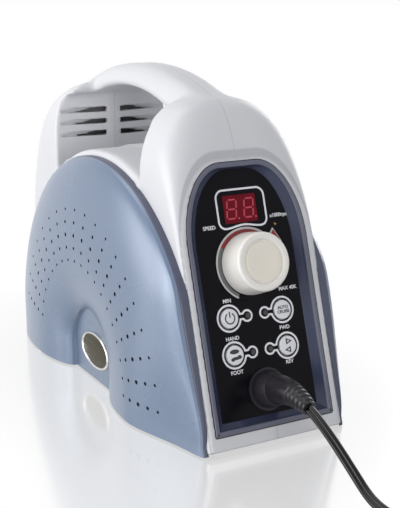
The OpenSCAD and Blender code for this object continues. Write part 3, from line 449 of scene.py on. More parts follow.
@dataclass(frozen=True)
class Slope:
    """The leaning front of the unit: u runs across, v up the slope and n out of the black panel's face."""

    lean: float = math.radians(17.7)
    front_y: float = -111.0

    def place(self, u: Array, v: Array, n: Array) -> Array:
        """Turns panel coordinates to the model's.

        Args:
            u: Across the panel.
            v: Up the slope.
            n: Out of the panel's face.

        Returns:
            Points of the model.
        """
        s, c = math.sin(self.lean), math.cos(self.lean)
        u, v, n = np.broadcast_arrays(u, v, n)
        return np.stack([u, self.front_y + v * s - n * c, v * c + n * s], -1)

    def out(self, y: Array, z: Array) -> Array:
        """How far a point stands out of the panel's face."""
        return -(y - self.front_y) * math.cos(self.lean) + z * math.sin(self.lean)

    def up(self, y: Array, z: Array) -> Array:
        """How far a point lies up the slope."""
        return (y - self.front_y) * math.sin(self.lean) + z * math.cos(self.lean)

    def turned(self, profile: Array, u: float, v: float, sides: int = 72) -> tuple[Array, Array]:
        """Turns a profile about the panel's normal.

        Args:
            profile: Points as (radius, height).
            u: Place of the axis across the panel.
            v: Place of the axis up the slope.
            sides: Points round a ring.

        Returns:
            Points and faces.
        """
        ring = arc(0, 360 - 360 / sides, sides)
        r, n = profile[:, :1], profile[:, 1:]
        points = self.place(u + r * ring[:, 0], v + r * ring[:, 1], n)
        return points, grid_faces(len(profile), sides, wrap_cols=True)


SLOPE = Slope()


def face_outline(half: float, low: float, high: float, top: tuple[float, float], foot: float) -> Array:
    """Outline of a front: straight sides, quarter-ellipse upper corners and round lower ones.

    Args:
        half: Half its width.
        low: Its lower edge.
        high: Its upper edge.
        top: Width and height of an upper corner.
        foot: Radius of a lower corner.

    Returns:
        Points, counter-clockwise.
    """
    few, many = 10, 28
    a, b = top
    rise = np.linspace(low + foot, high - b, few + 2)[1:-1]
    return np.concatenate([
        [half - foot, low + foot] + foot * arc(270, 360, few),
        np.stack([np.full(few, half), rise], -1),
        [half - a, high - b] + np.array([a, b]) * arc(0, 90, many),
        [-half + a, high - b] + np.array([a, b]) * arc(90, 180, many),
        np.stack([np.full(few, -half), rise[::-1]], -1),
        [-half + foot, low + foot] + foot * arc(180, 270, few),
    ])


@dataclass(frozen=True)
class Front:
    """Outlines of the front: the slate frame's outer edge and the black panel that shows inside it."""

    recess: float = 3.5
    trim_half: float = 32.9
    trim_low: float = 7.78
    trim_high: float = 134.5
    trim_corner: tuple[float, float] = (23.0, 39.5)
    trim_foot: float = 1.2
    panel_half: float = 26.4
    panel_low: float = 13.58
    panel_high: float = 131.1
    panel_corner: tuple[float, float] = (21.4, 37.0)
    panel_foot: float = 0.8

    def trim(self, grow: float) -> Array:
        """Outline of the slate frame, grown all round."""
        a, b = self.trim_corner
        return face_outline(self.trim_half + grow, self.trim_low - grow, self.trim_high + grow,
                            (a + grow, b + grow), self.trim_foot + grow)

    def panel(self, grow: float) -> Array:
        """Outline of the black panel, grown all round."""
        a, b = self.panel_corner
        return face_outline(self.panel_half + grow, self.panel_low - grow, self.panel_high + grow,
                            (a + grow, b + grow), self.panel_foot + grow)

    def build(self) -> None:
        """The slate frame: a rounded lip, and a slope down to the panel."""
        seat, face, rim = self.recess - 0.05, self.recess + 0.03, self.recess + 0.4
        lip, slope, joint_shade = range(3)
        # The joint stations are painted shade: a dark strip round the frame's outer edge and down into the
        # housing stands for the shadow in the gap. The slope stations take the darker slate, also painted
        # shade
        # How far the outline is grown, the height over the panel, and the finish
        edges = [(-1.4, self.recess - 2.5, joint_shade), (-1.4, seat, joint_shade), (0, seat, joint_shade), (0, face, joint_shade),
                 (-0.45, face, lip), (-0.45, rim - 0.2, lip), (-0.55, rim - 0.05, lip), (-0.85, rim, lip),
                 (-2.3, rim, lip), (-2.6, rim - 0.12, lip), (-2.8, rim - 0.5, slope)]
        stations = [(self.trim(grow), n, look) for grow, n, look in edges]
        inner, (edge, top, _) = self.panel(0), stations[-1]
        stations += [(edge + (inner - edge) * f, top * (1 - f), slope) for f in (0.25, 0.5, 0.75, 0.94)]
        stations += [(inner, -0.1, slope)]
        points = np.stack([SLOPE.place(loop[:, 0], loop[:, 1], n) for loop, n, _ in stations])
        looks = np.repeat([look for *_, look in stations[:-1]], points.shape[1])
        add_piece("slate_frame", points, grid_faces(len(stations), points.shape[1], wrap_cols=True),
                  [Look.TRIM, Look.TRIM_SLOPE_SHADE, Look.JOINT_SHADE], stands_for=["trim_frame"], slot="slate_trim",
                  sharp=60, face_looks=looks)
        dress(["front_panel"], Look.PANEL)


FRONT = Front()


@dataclass
class Housing:
    """The white two-part housing with its hood, handle, finger opening and vents, as one smooth field."""

    half_w: float = 37.0
    rear_y: float = 111.0
    wall: float = 3.5
    base_z: float = 2.0
    top_z: float = 157.0
    brow_z: float = 134.0
    shoulder_h: float = 45.0
    brow_reach: float = 0.135
    front_round: float = 2.0
    bezel_corner: float = 24.7
    arch_z: float = 12.0
    floor_r: float = 115.0
    open_front: float = 41.0
    open_rear: float = 65.0
    trim_lap: float = 1.0
    vee: float = 4.0
    vee_ridge: float = 2.5
    under: tuple[float, float, float] = (17.0, 23.0, 134.0)
    grip: tuple[float, float, float] = (14.0, -14.5, 183.0)
    grip_half: float = 14.5
    grip_round: float = 11.0
    grip_span: tuple[float, float] = (-54.0, 87.0)
    rear_arc: tuple[float, float] = (68.0, 111.0)
    rear_corner: float = 4.5
    foot_corner: float = 1.2
    grip_sink: float = 6.0
    column_square: float = 3.2
    hood_square: float = 2.7
    vent_z: float = 125.5
    vent_pitch: float = 6.8
    vent_h: float = 3.0
    vent_mid: float = 18.0
    vent_half: float = 14.0
    vent_back: float = 4.0
    louvre: tuple[float, float, float] = (1.5, 4.9, 2.5)
    inlet_hatch: tuple[float, float, float] = (13.6, 24.0, 10.1)
    rocker_hatch: tuple[float, float, float] = (9.6, 62.0, 6.6)
    round_hatches: tuple[float, float, float] = (9.0, 46.0, 4.8)
    cut_depth: float = 8.0
    corner_rise: tuple[float, float] = (30.0, 40.0)
    sink_fall: tuple[float, float] = (148.0, 20.0)
    lap: float = 2.0
    edge_round: float = 3.0
    rear_round: float = 6.0
    joins: tuple[float, float, float] = (2.0, 4.0, 2.5)
    mouth_rounds: tuple[float, float] = (4.0, 1.8)
    mouth_turn: float = 50.0
    coarse: float = 1.6
    fine: float = 0.75
    finest: float = 0.6

    def _roof(self, x: Array, z: Array, crest: Array, shoulder: Array, corner: Array,
              power: Array | float) -> Array:
        """Upright sides that turn over quarter-oval shoulders into the crest.

        Args:
            x: Across the housing.
            z: Height.
            crest: Height of the crest.
            shoulder: Height where the shoulders start.
            corner: How far in the shoulders reach.
            power: Two for ovals, and more for squarer shoulders.

        Returns:
            Field, negative inside.
        """
        q = np.maximum(np.abs(x) - (self.half_w - corner), 0) / corner
        h = np.maximum(z - shoulder, 0) / (crest - shoulder)
        small = 0.02
        reach = (corner * (q + small) + (crest - shoulder) * h) / (q + h + small)
        return ((q ** power + h ** power) ** (1 / power) - 1) * reach

    def _rear(self, y: Array, z: Array) -> Array:
        """The upright rear wall, which leans forwards in an arc above a height."""
        centre_z, radius = self.rear_arc
        return np.where(z > centre_z, np.hypot(y, z - centre_z) - radius, y - self.rear_y)

    def _vee(self, x: Array, y: Array) -> Array:
        """Distance behind the finger opening's rear wall, a vee seen from above with a rounded ridge.

        Args:
            x: Across the housing.
            y: To the back.

        Returns:
            Distance, negative in the opening.
        """
        lean = self.vee / self.half_w
        bend = np.sqrt(x * x + self.vee_ridge ** 2) - self.vee_ridge
        return (y - self.open_rear - lean * bend) / math.hypot(1, lean)

    def form(self, x: Array, y: Array, z: Array) -> Array:
        """The outside of the housing, without its cuts.

        The hood, the belly, the rear column and the handle are fields of their own, joined with fillets, and
        the finger opening is taken out of them.

        Args:
            x: Across the housing.
            y: To the back.
            z: Height.

        Returns:
            Field, negative inside.
        """
        out = SLOPE.out(y, z)
        plane = y + (out - FRONT.recess) / math.cos(SLOPE.lean)
        hood_len = np.maximum(-self.open_front - plane, 4)
        rise = 1 - np.exp(-np.clip((y - plane) / hood_len, 0, 1.5) / self.brow_reach)
        crest = self.brow_z + (self.top_z - self.brow_z) * rise
        corner = self.bezel_corner + (self.half_w - self.bezel_corner) * rise
        climb = (self.top_z - self.brow_z) * (1 - rise) / (self.brow_reach * hood_len)
        lifted = np.clip((z - crest + self.shoulder_h) / self.shoulder_h, 0, 1)
        square = 2 + (self.hood_square - 2) * rise
        roof = self._roof(x, z, crest, crest - self.shoulder_h, corner, square)
        roof = roof / np.sqrt(1 + 1.2 * (lifted * climb) ** 2)
        hood = soft_max(roof, out - FRONT.recess, self.front_round)
        hood = soft_max(hood, y + self.open_front, 1.0)
        radius = np.hypot(y, z - self.arch_z)
        belly = soft_max(radius - self.floor_r, np.abs(x) - self.half_w, self.edge_round)
        belly = np.maximum(np.maximum(belly, -self.open_front - self.lap - y),
                           y - self.open_rear - self.vee - 1.5 * self.lap)
        rear = self._rear(y, z)
        low, span = self.corner_rise
        c = self.foot_corner + (self.rear_corner - self.foot_corner) * np.clip((z - low) / span, 0, 1)
        round_rear = np.hypot(np.maximum(np.abs(x) - self.half_w + c, 0), np.maximum(rear + c, 0)) - c
        top = np.full_like(z, self.top_z)
        column = self._roof(x, z, top, top - self.shoulder_h, np.full_like(z, self.half_w),
                            self.column_square)
        column = soft_max(column, round_rear, self.rear_round)
        column = np.maximum(column, self.open_rear - 2.5 * self.lap - y)
        gy, gz, gr = self.grip
        lift = np.hypot(y - gy, z - gz) - gr
        r = self.grip_round
        bar = np.hypot(np.maximum(np.abs(x) - self.grip_half + r, 0), np.maximum(lift + r, 0)) - r
        high, span = self.sink_fall
        sunk = rear + self.grip_sink * np.clip((high - z) / span, 0, 1)
        bar = np.maximum(np.maximum(bar, self.grip_span[0] - y), np.maximum(y - self.grip_span[1], sunk))
        bar = np.maximum(bar, self.top_z - self.shoulder_h - z)
        front, back, middle = self.joins
        body = soft_min(soft_min(hood, belly, front), soft_min(column, bar, back), middle)
        uy, uz, ur = self.under
        k = self.edge_round
        gap = soft_max(np.hypot(y - uy, z - uz) - ur, self.floor_r - radius, k)
        gap = soft_max(gap, soft_max(-self.open_front - y, self._vee(x, y), k), k)
        near, far = self.mouth_rounds
        return soft_max(body, -gap, np.where(y > self.mouth_turn, far, near))

    def field(self, x: Array, y: Array, z: Array) -> Array:
        """The housing's wall, with the front, vents and rear fittings cut through it.

        Args:
            x: Across the housing.
            y: To the back.
            z: Height.

        Returns:
            Field, negative in the wall.
        """
        skin = self.form(x, y, z)
        wall = np.maximum(np.maximum(skin, -skin - self.wall), self.base_z - z)
        u, v, n = np.abs(x), SLOPE.up(y, z), SLOPE.out(y, z)
        a, b = FRONT.trim_corner
        q = np.maximum(u - FRONT.trim_half + a, 0) / a
        h = np.maximum(v - FRONT.trim_high + b, 0) / b
        mouth = np.maximum((np.hypot(q, h) - 1) * a, FRONT.trim_low - v)
        wall = np.maximum(wall, -np.maximum(mouth + self.trim_lap, -n - self.cut_depth))
        vee = self._vee(x, y)
        row = np.clip(np.round((z - self.vent_z) / self.vent_pitch), 0, 2)
        off = z - self.vent_z - row * self.vent_pitch
        slot = np.maximum(np.abs(off) - self.vent_h / 2, np.abs(u - self.vent_mid) - self.vent_half)
        upper = np.clip(off / self.vent_h + 0.5, 0, 1)
        along = (u - self.vent_mid + self.vent_half) / (2 * self.vent_half)
        least, more, roof = self.louvre
        deep = least + more * np.clip(1 - along, 0, 1) - roof * upper
        wall = np.maximum(wall, -np.maximum(slot, np.maximum(vee - deep, -vee - self.vent_back)))
        hatch = np.hypot(u - self.round_hatches[0], z - self.round_hatches[1]) - self.round_hatches[2]
        for half, middle, rise in (self.inlet_hatch, self.rocker_hatch):
            hatch = np.minimum(hatch, np.maximum(u - half, np.abs(z - middle) - rise))
        return np.maximum(wall, -np.maximum(hatch, self.rear_y - self.cut_depth - y))

    def build(self) -> None:
        """Samples the field, finer where the vents are, and meshes its zero."""
        xs = np.arange(-self.half_w - 2, self.half_w + 2.01, self.coarse)
        near, far = self.open_rear - 4, self.open_rear + self.vee + 6
        ys = np.concatenate([np.arange(SLOPE.front_y - 4, near, self.coarse), np.arange(near, far, self.fine),
                             np.arange(far, self.rear_y + 3, self.coarse)])
        low, high = self.vent_z - 4, self.vent_z + 2 * self.vent_pitch + 4
        zs = np.concatenate([np.arange(self.base_z - 2, low, self.coarse), np.arange(low, high, self.finest),
                             np.arange(high, self.top_z + 15, self.coarse)])
        values = self.field(*np.meshgrid(xs, ys, zs, indexing="ij"))
        points, quads = surface_net(values, (xs, ys, zs))
        add_piece("white_housing", settle(points, self.field), quads, Look.SHELL,
                  stands_for=["left_body_shell", "right_body_shell"], slot="white_shell", sharp=50)


@dataclass
class SideCover:
    """A blue side cover: a perforated shell that swells round a bowl with a flat pocket.

    It is made on rays from the middle of the holes. Along each ray the height is a full curve from the
    pocket's edge up to the crest, and another down to the rim.
    """

    half_w: float = 37.0
    arch: tuple[float, float] = (12.0, 111.0)
    skirt_z: float = 0.8
    rim_h: float = 3.4
    front_tuck: float = 0.5
    crest_h: float = 15.6
    crest_r: float = 60.0
    pocket_h: float = 5.5
    pocket_step: float = 1.3
    pocket_r: float = 25.0
    pocket_shift: tuple[float, float] = (3.0, 2.0)
    centre: tuple[float, float] = (1.0, 13.0)
    rows: int = 19
    row_step: float = 9.3
    row_start: float = 179.5
    ring_r: float = 55.4
    ring_pitch: float = 6.8
    rings: int = 5
    hole_r: float = 1.1
    hole_shrink: float = 0.15
    wall: float = 2.2
    split: int = 4
    fullness: tuple[float, float] = (1.8, 0.6)
    edge_round: float = 2.0
    tuck_y: tuple[float, float] = (-55.0, 50.0)
    tuck_z: tuple[float, float] = (66.0, 60.0)
    skirt_steps: int = 6
    rim_steps: int = 5

    def _swell(self, u: Array, foot: float) -> Array:
        """Height from a foot, at u of 1, up to the crest, at u of 0."""
        start, end = self.fullness
        return foot + (self.crest_h - foot) * (1 - np.clip(u, 0, 1) ** start) ** end

    def _edge(self, turn: Array) -> Array:
        """Length of each ray to the arch, or to the plane of the front where that is nearer.

        Args:
            turn: Angle of each ray.

        Returns:
            Its length.
        """
        cy, cz = self.centre
        arch_z, arch_r = self.arch
        dy, dz = np.cos(turn), np.sin(turn)
        along = cy * dy + (cz - arch_z) * dz
        ring = -along + np.sqrt(along ** 2 + arch_r ** 2 - cy ** 2 - (cz - arch_z) ** 2)
        s, c = math.sin(SLOPE.lean), math.cos(SLOPE.lean)
        least = 0.05
        facing = np.maximum(-dy * c + dz * s, least)
        plane = (FRONT.recess + (cy - SLOPE.front_y) * c - cz * s) / facing
        return soft_min(ring, plane, self.edge_round)

    def _pocket(self, turn: Array) -> Array:
        """Length of each ray to the edge of the round pocket.

        Args:
            turn: Angle of each ray.

        Returns:
            Its length.
        """
        ey, ez = self.pocket_shift
        along = ey * np.cos(turn) + ez * np.sin(turn)
        return along + np.sqrt(self.pocket_r ** 2 - ey ** 2 - ez ** 2 + along ** 2)

    def _sheet(self) -> tuple[Array, Array, int]:
        """The cover's face as a grid of stations along rays.

        Returns:
            Points as rays by stations, a mask of the stations that lie on the rim's wall, and the first
            station of the perforated band.
        """
        half = self.row_step / 2
        end = self.row_start - half - self.row_step * (self.rows - 1)
        turn = np.radians(np.linspace(self.row_start + half, end, self.rows * self.split + 1))[:, None]
        edge, pocket = self._edge(turn), self._pocket(turn)
        band_in = self.ring_r - self.ring_pitch / 2
        band_out = band_in + self.ring_pitch * self.rings
        inner = pocket * np.array([[0.0, 0.35, 0.7, 0.9]])
        lip = pocket + np.array([[-0.7, -0.25, 0.25, 0.7]])
        bowl = pocket + 0.7 + (band_in - pocket - 0.7) * np.linspace(0, 1, 14)[None, 1:-1]
        holes = np.linspace(band_in, band_out, self.rings * self.split + 1)
        band = np.broadcast_to(holes, (len(turn), holes.size))
        dome = band_out + (edge - 1.2 - band_out) * np.sin(np.linspace(0, math.pi / 2, 18))[None, 1:]
        rim = edge + np.array([[-0.8, -0.4, -0.12, 0.0, 0.0, 0.0]])
        reach = np.concatenate([inner, lip, bowl, band, dome, rim], 1)
        crest = np.full_like(pocket, self.crest_r)
        height = np.where(reach < crest,
                          self._swell((crest - reach) / (crest - pocket), self.pocket_h + self.pocket_step),
                          self._swell((reach - crest) / (edge - crest), self.rim_h))
        floor = np.clip((pocket + 0.25 - reach) / 0.5, 0, 1)
        height -= floor * np.maximum(height - self.pocket_h, 0)
        height[:, -6:] = self.rim_h + np.array([0.75, 0.35, -0.1, -0.7, -self.rim_h, -self.rim_h - 1])
        y = self.centre[0] + reach * np.cos(turn)
        z = self.centre[1] + reach * np.sin(turn)
        ahead = np.clip((self.tuck_y[0] - y) / self.tuck_y[1], 0, 1)
        low = np.clip((self.tuck_z[0] - z) / self.tuck_z[1], 0, 1)
        height *= 1 - self.front_tuck * ahead ** 2 * (3 - 2 * ahead) * low ** 2 * (3 - 2 * low)
        face = np.stack([self.half_w + height, y, z], -1)
        share = np.linspace(1, 0, self.skirt_steps + 1)[:-1, None]
        front, rear = face[0], face[-1]
        slide = (reach[0] / reach[0].max()) ** 6 * math.tan(SLOPE.lean)
        skirts = []
        for line, drift in ((front, slide), (rear, 0 * slide)):
            drop = (line[:, 2] - self.skirt_z) * share
            skirts.append(np.stack([np.broadcast_to(line[:, 0], drop.shape), line[:, 1] - drop * drift,
                                    line[:, 2] - drop], -1))
        sheet = np.concatenate([skirts[0], face, skirts[1][::-1]])
        wall = np.arange(sheet.shape[1]) >= sheet.shape[1] - self.rim_steps
        return sheet, wall, inner.shape[1] + lip.shape[1] + bowl.shape[1]

    def _holes(self, sheet: Array, first: int) -> tuple[Array, Array, Array]:
        """Round holes in the band: each block of cells becomes a ring of quads and a short tube.

        Args:
            sheet: The cover's grid.
            first: First station of the perforated band.

        Returns:
            Points of the holes, their quads in terms of the grid's and the holes' points, and a mask of the
            grid's cells that they stand for.
        """
        skirt, k = self.skirt_steps, self.split
        rows, rings = np.meshgrid(np.arange(self.rows), np.arange(self.rings), indexing="ij")
        at_row, at_ring = (skirt + rows.ravel() * k), (first + rings.ravel() * k)
        walk = np.arange(k)
        loop_i = np.concatenate([0 * walk, walk, 0 * walk + k, k - walk])
        loop_j = np.concatenate([walk, 0 * walk + k, k - walk, 0 * walk])
        grid_i, grid_j = at_row[:, None] + loop_i, at_ring[:, None] + loop_j
        rim = sheet[grid_i, grid_j]
        middle = sheet[at_row + k // 2, at_ring + k // 2][:, None]
        radius = (self.hole_r - self.hole_shrink * np.abs(rings.ravel() - self.rings // 2))[:, None, None]
        spoke = rim - middle
        flat = np.linalg.norm(spoke[..., 1:], axis=-1, keepdims=True)
        lip = middle + spoke * radius / flat
        tube = lip - [self.wall, 0, 0]
        count = sheet.shape[0] * sheet.shape[1]
        sides = loop_i.size
        outer = grid_i * sheet.shape[1] + grid_j
        lip_id = count + np.arange(lip.shape[0] * sides).reshape(-1, sides)
        tube_id = lip_id + lip_id.size
        turn = np.roll(np.arange(sides), -1)
        quads = [np.stack([a, a[:, turn], b[:, turn], b], -1).reshape(-1, 4)
                 for a, b in ((outer, lip_id), (lip_id, tube_id))]
        taken = np.zeros((sheet.shape[0] - 1, sheet.shape[1] - 1), bool)
        taken[(at_row[:, None, None] + walk[:, None]), (at_ring[:, None, None] + walk)] = True
        return np.concatenate([lip.reshape(-1, 3), tube.reshape(-1, 3)]), np.concatenate(quads), taken.ravel()

    def build(self, side: int, node: str) -> None:
        """Meshes one cover.

        Args:
            side: 1 for the right cover, -1 for the left one.
            node: Solid that it stands for.
        """
        sheet, wall, first = self._sheet()
        extra, hole_quads, taken = self._holes(sheet, first)
        cells = grid_faces(*sheet.shape[:2])
        on_wall = np.tile(wall[:-1], sheet.shape[0] - 1)
        faces = np.concatenate([cells[~taken], hole_quads])
        # The rim's wall gets the darker rim finish, and the holes' bores the dark joint finish: both painted
        # shade
        bore_look = np.repeat([0, 2], len(hole_quads) // 2)
        edge_look = np.concatenate([on_wall[~taken].astype(int), bore_look])
        points = np.concatenate([sheet.reshape(-1, 3), extra]) * [side, 1, 1]
        add_piece(node.replace("side_cover", "pearl_cover"), points, faces,
                  [Look.COVER, Look.COVER_RIM_SHADE, Look.JOINT_SHADE], stands_for=[node], slot="blue_cover", sharp=55,
                  face_looks=edge_look)


@dataclass
class Badges:
    """Oval badges in the covers' pockets: a bright half-round rim about a bare, slightly crowned plate."""

    length: float = 35.0
    height: float = 20.0
    seat_x: float = 42.5
    centre: tuple[float, float] = (1.0, 18.0)
    rim_w: float = 1.6
    rim_h: float = 1.6
    crown: float = 0.5
    plate_h: float = 0.7
    sides: int = 96

    def build(self) -> None:
        """Sweeps the rim's half-round section round the oval and crowns the plate."""
        ring = arc(0, 360 - 360 / self.sides, self.sides)
        oval = np.array([self.length / 2, self.height / 2])
        bulge, foot = self.rim_h * 0.6, self.rim_h * 0.4
        section = np.concatenate([[[0, 0]], np.array([self.rim_w / 2, bulge]) * arc(180, 0, 12)
                                  + [self.rim_w / 2, foot], [[self.rim_w, 0]]])
        share = np.linspace(1, 0, 10)[:, None, None]
        rims, plates = [], []
        for side in (-1, 1):
            flat = self.centre + (oval - section[:, None, :1]) * ring
            out = side * (self.seat_x + np.broadcast_to(section[:, None, 1], flat.shape[:2]))
            points = np.concatenate([out[..., None], flat], -1)
            rims.append((points, grid_faces(*points.shape[:2], wrap_rows=True, wrap_cols=True)))
            flat = self.centre + share * (oval - self.rim_w) * ring
            out = self.seat_x + self.plate_h + self.crown * (1 - share[..., 0] ** 2) + 0 * flat[..., 0]
            points = np.concatenate([side * out[..., None], flat], -1)
            plates.append((points, grid_faces(*points.shape[:2], wrap_cols=True)))
        add_piece("badge_bright_rims", *joined(rims), Look.BRIGHT, stands_for=["badge_rims"],
                  slot="bright_trim")
        add_piece("badge_brushed_plates", *joined(plates), Look.PLATE, stands_for=["badge_plates"],
                  slot="bright_trim")


def band(outer: Array, inner: Array, lift: float, thick: float = 0.06) -> tuple[Array, Array]:
    """A flat printed band between two closed outlines, standing a hair proud of its seat.

    Args:
        outer: Outer outline.
        inner: Inner outline, with as many points.
        lift: Height of the seat.
        thick: Thickness of the ink.

    Returns:
        Points and faces.
    """
    loops = [(outer, lift), (outer, lift + thick), (inner, lift + thick), (inner, lift)]
    points = np.stack([SLOPE.place(loop[:, 0], loop[:, 1], n) for loop, n in loops])
    return points, grid_faces(4, len(outer), wrap_rows=True, wrap_cols=True)


def patch(outline: Array, lift: float, thick: float = 0.06) -> tuple[Array, list]:
    """A flat printed shape inside one closed outline, standing a hair proud of its seat.

    Args:
        outline: The outline.
        lift: Height of the seat.
        thick: Thickness of the ink.

    Returns:
        Points and faces.
    """
    count = len(outline)
    points = np.concatenate([SLOPE.place(outline[:, 0], outline[:, 1], lift + h) for h in (0, thick)])
    walls = grid_faces(2, count, wrap_cols=True).tolist()
    return points, walls + [list(range(count))[::-1], list(range(count, 2 * count))]


def joined(parts: Sequence[tuple[Array, Array | list]]) -> tuple[Array, list]:
    """Several shapes as one.

    Args:
        parts: Points and faces of each shape.

    Returns:
        One set of points and faces.
    """
    points, faces, start = [], [], 0
    for p, f in parts:
        p = np.asarray(p).reshape(-1, 3)
        points.append(p)
        faces += [[start + i for i in face] for face in (f if isinstance(f, list) else f.tolist())]
        start += len(p)
    return np.concatenate(points), faces


def arc_band(centre: tuple[float, float], radii: tuple[float, float], widths: tuple[float, float],
             start: float, end: float, lift: float, steps: int = 48) -> tuple[Array, list]:
    """A printed arc whose outer radius and width change evenly along it.

    Args:
        centre: Its middle on the panel.
        radii: Outer radius at its start and end.
        widths: Width at its start and end.
        start: Angle of its start in degrees.
        end: Angle of its end in degrees.
        lift: Height of the seat.
        steps: Points along each edge.

    Returns:
        Points and faces.
    """
    ring = arc(start, end, steps)
    outer = np.linspace(*radii, steps)[:, None]
    width = np.linspace(*widths, steps)[:, None]
    outline = np.concatenate([centre + outer * ring, (centre + (outer - width) * ring)[::-1]])
    return patch(outline, lift)


@dataclass
class Controls:
    """What sits on the black panel: display, dial, knob, keys, lamps and the printed marks round them."""

    display_v: float = 112.0
    window: tuple[float, float] = (18.0, 13.4)
    knob_v: float = 85.3
    knob_r: float = 15.0
    knob_h: float = 15.0
    knob_lift: float = 0.9
    dial_r: float = 17.7
    key_u: float = 14.75
    key_rows: tuple[float, float] = (61.2, 43.8)
    key_r: float = 4.65
    key_h: float = 0.9
    lamp_u: float = 4.9
    ring_r: float = 6.6
    line: float = 0.95
    slant: float = 0.13
    words: tuple[tuple[str, float, float], ...] = (
        ("SPEED", -18.2, 104.3), ("MIN", -14.6, 69.4), ("MAX 40K", 19.6, 71.1), ("x1000rpm", 20.9, 106.8),
        ("HAND", -14.5, 51.6), ("FOOT", -14.7, 35.6), ("FWD", 14.7, 52.6), ("REV", 14.7, 36.0))
    word_size: float = 2.5
    key_word_size: float = 2.1
    ink: float = 0.03
    bold: float = 0.06
    digit_u: float = 4.7
    digit_half: tuple[float, float] = (2.5, 4.5)
    segment_len: tuple[float, float] = (4.1, 3.8)
    segment_half_w: float = 0.38
    segment_film: tuple[float, float] = (0.01, 0.02)
    dot: tuple[float, float, float] = (3.4, -4.6, 0.5)
    dial_turns: tuple[float, float, float] = (242.0, 146.0, 44.0)
    dial_lift: float = 0.46
    arrow_edge: float = 1.3

    def _letters(self, text: str, u: float, v: float, size: float, lift: float) -> tuple[Array, list]:
        """A word as flat printed letters.

        Args:
            text: The word.
            u: Middle of the word across the panel.
            v: Middle of the word up the panel.
            size: Line height of the letters.
            lift: Height of the seat that carries them.

        Returns:
            Points and faces.
        """
        curve = bpy.data.curves.new("word", "FONT")
        curve.body, curve.size, curve.extrude, curve.offset = text, size, self.ink, self.bold
        curve.align_x, curve.align_y = "CENTER", "CENTER"
        holder = bpy.data.objects.new("word", curve)
        mesh = holder.to_mesh()
        flat = np.empty(len(mesh.vertices) * 3)
        mesh.vertices.foreach_get("co", flat)
        faces = [list(face.vertices) for face in mesh.polygons]
        holder.to_mesh_clear()
        bpy.data.objects.remove(holder)
        bpy.data.curves.remove(curve)
        x, y, z = flat.reshape(-1, 3).T
        return SLOPE.place(u + x, v + y, lift + 0.04 + z), faces

    def _words(self) -> None:
        """The plain names of the controls, printed on the panel."""
        words = [self._letters(text, u, v, self.word_size, 0.0) for text, u, v in self.words]
        add_piece("panel_words", *joined(words), Look.INK_WHITE, slot="button_grey")

    def _display(self) -> None:
        """The window, the digits behind its face and a white line that runs round both and hugs the dial."""
        half = np.array(self.window) / 2
        shape = rounded([(-half[0], -half[1], 0), (half[0], -half[1], 0.5), (half[0], half[1], 0.5),
                         (-half[0], half[1], 0.5), (-half[0], -half[1], 0)])[:-1]
        points, faces = patch(shape + [0, self.display_v], -1.2, 1.2)
        add_piece("display_red_window", points, faces, Look.WINDOW, stands_for=["display_window"],
                  slot="window_red")
        add_piece("display_white_line", *band(self._surround(0), self._surround(self.line), 0.0),
                  Look.INK_WHITE, slot="button_grey")
        digits = []
        wide, tall = self.digit_half
        dot_u, dot_v, dot_r = self.dot
        for shift in (-self.digit_u, self.digit_u):
            for v in (tall, 0, -tall):
                digits.append(self._bar(shift + v * self.slant, self.display_v + v, False))
            for u, v in ((-wide, tall / 2), (wide, tall / 2), (-wide, -tall / 2), (wide, -tall / 2)):
                digits.append(self._bar(shift + u + v * self.slant, self.display_v + v, True))
            dot = np.array([shift + dot_u, self.display_v + dot_v]) + dot_r * arc(0, 345, 24)
            digits.append(patch(dot, *self.segment_film))
        add_piece("display_segments", *joined(digits), Look.SEGMENT, stands_for=["display_digits"],
                  slot="lamp_red")

    def _surround(self, shrink: float) -> Array:
        """Outline round the display: round corners, and a foot that rises in a wave to clear the dial.

        Args:
            shrink: How far the outline is drawn in.

        Returns:
            Closed outline on the panel.
        """
        top, low = self.display_v + 5.4, self.display_v - 5.5
        left, right, foot_r, head_r, wave = -9.0, 10.3, 4.0, 4.4, 1.2
        u = np.linspace(left, right, 30)
        rise = wave * np.cos(math.pi * (u - (left + right) / 2) / (right - left)) ** 2
        foot = np.stack([u, low - foot_r + shrink + rise], -1)
        inset = head_r - foot_r
        return np.concatenate([foot, [right, low] + (foot_r - shrink) * arc(270, 360, 10),
                               [right - inset, top] + (head_r - shrink) * arc(0, 90, 10),
                               [left + inset, top] + (head_r - shrink) * arc(90, 180, 10),
                               [left, low] + (foot_r - shrink) * arc(180, 270, 10)])

    def _bar(self, u: float, v: float, upright: bool) -> tuple[Array, list]:
        """One pointed segment of a digit.

        Args:
            u: Its middle across the panel.
            v: Its middle up the slope.
            upright: Whether it stands.

        Returns:
            Points and faces.
        """
        half, thick = self.segment_len[int(upright)] / 2, self.segment_half_w
        bar = np.array([[-half, 0], [-half + thick, -thick], [half - thick, -thick], [half, 0],
                        [half - thick, thick], [-half + thick, thick]])
        if upright:
            bar = np.stack([bar[:, 1] + self.slant * bar[:, 0], bar[:, 0]], -1)
        return patch(bar + [u, v], *self.segment_film)

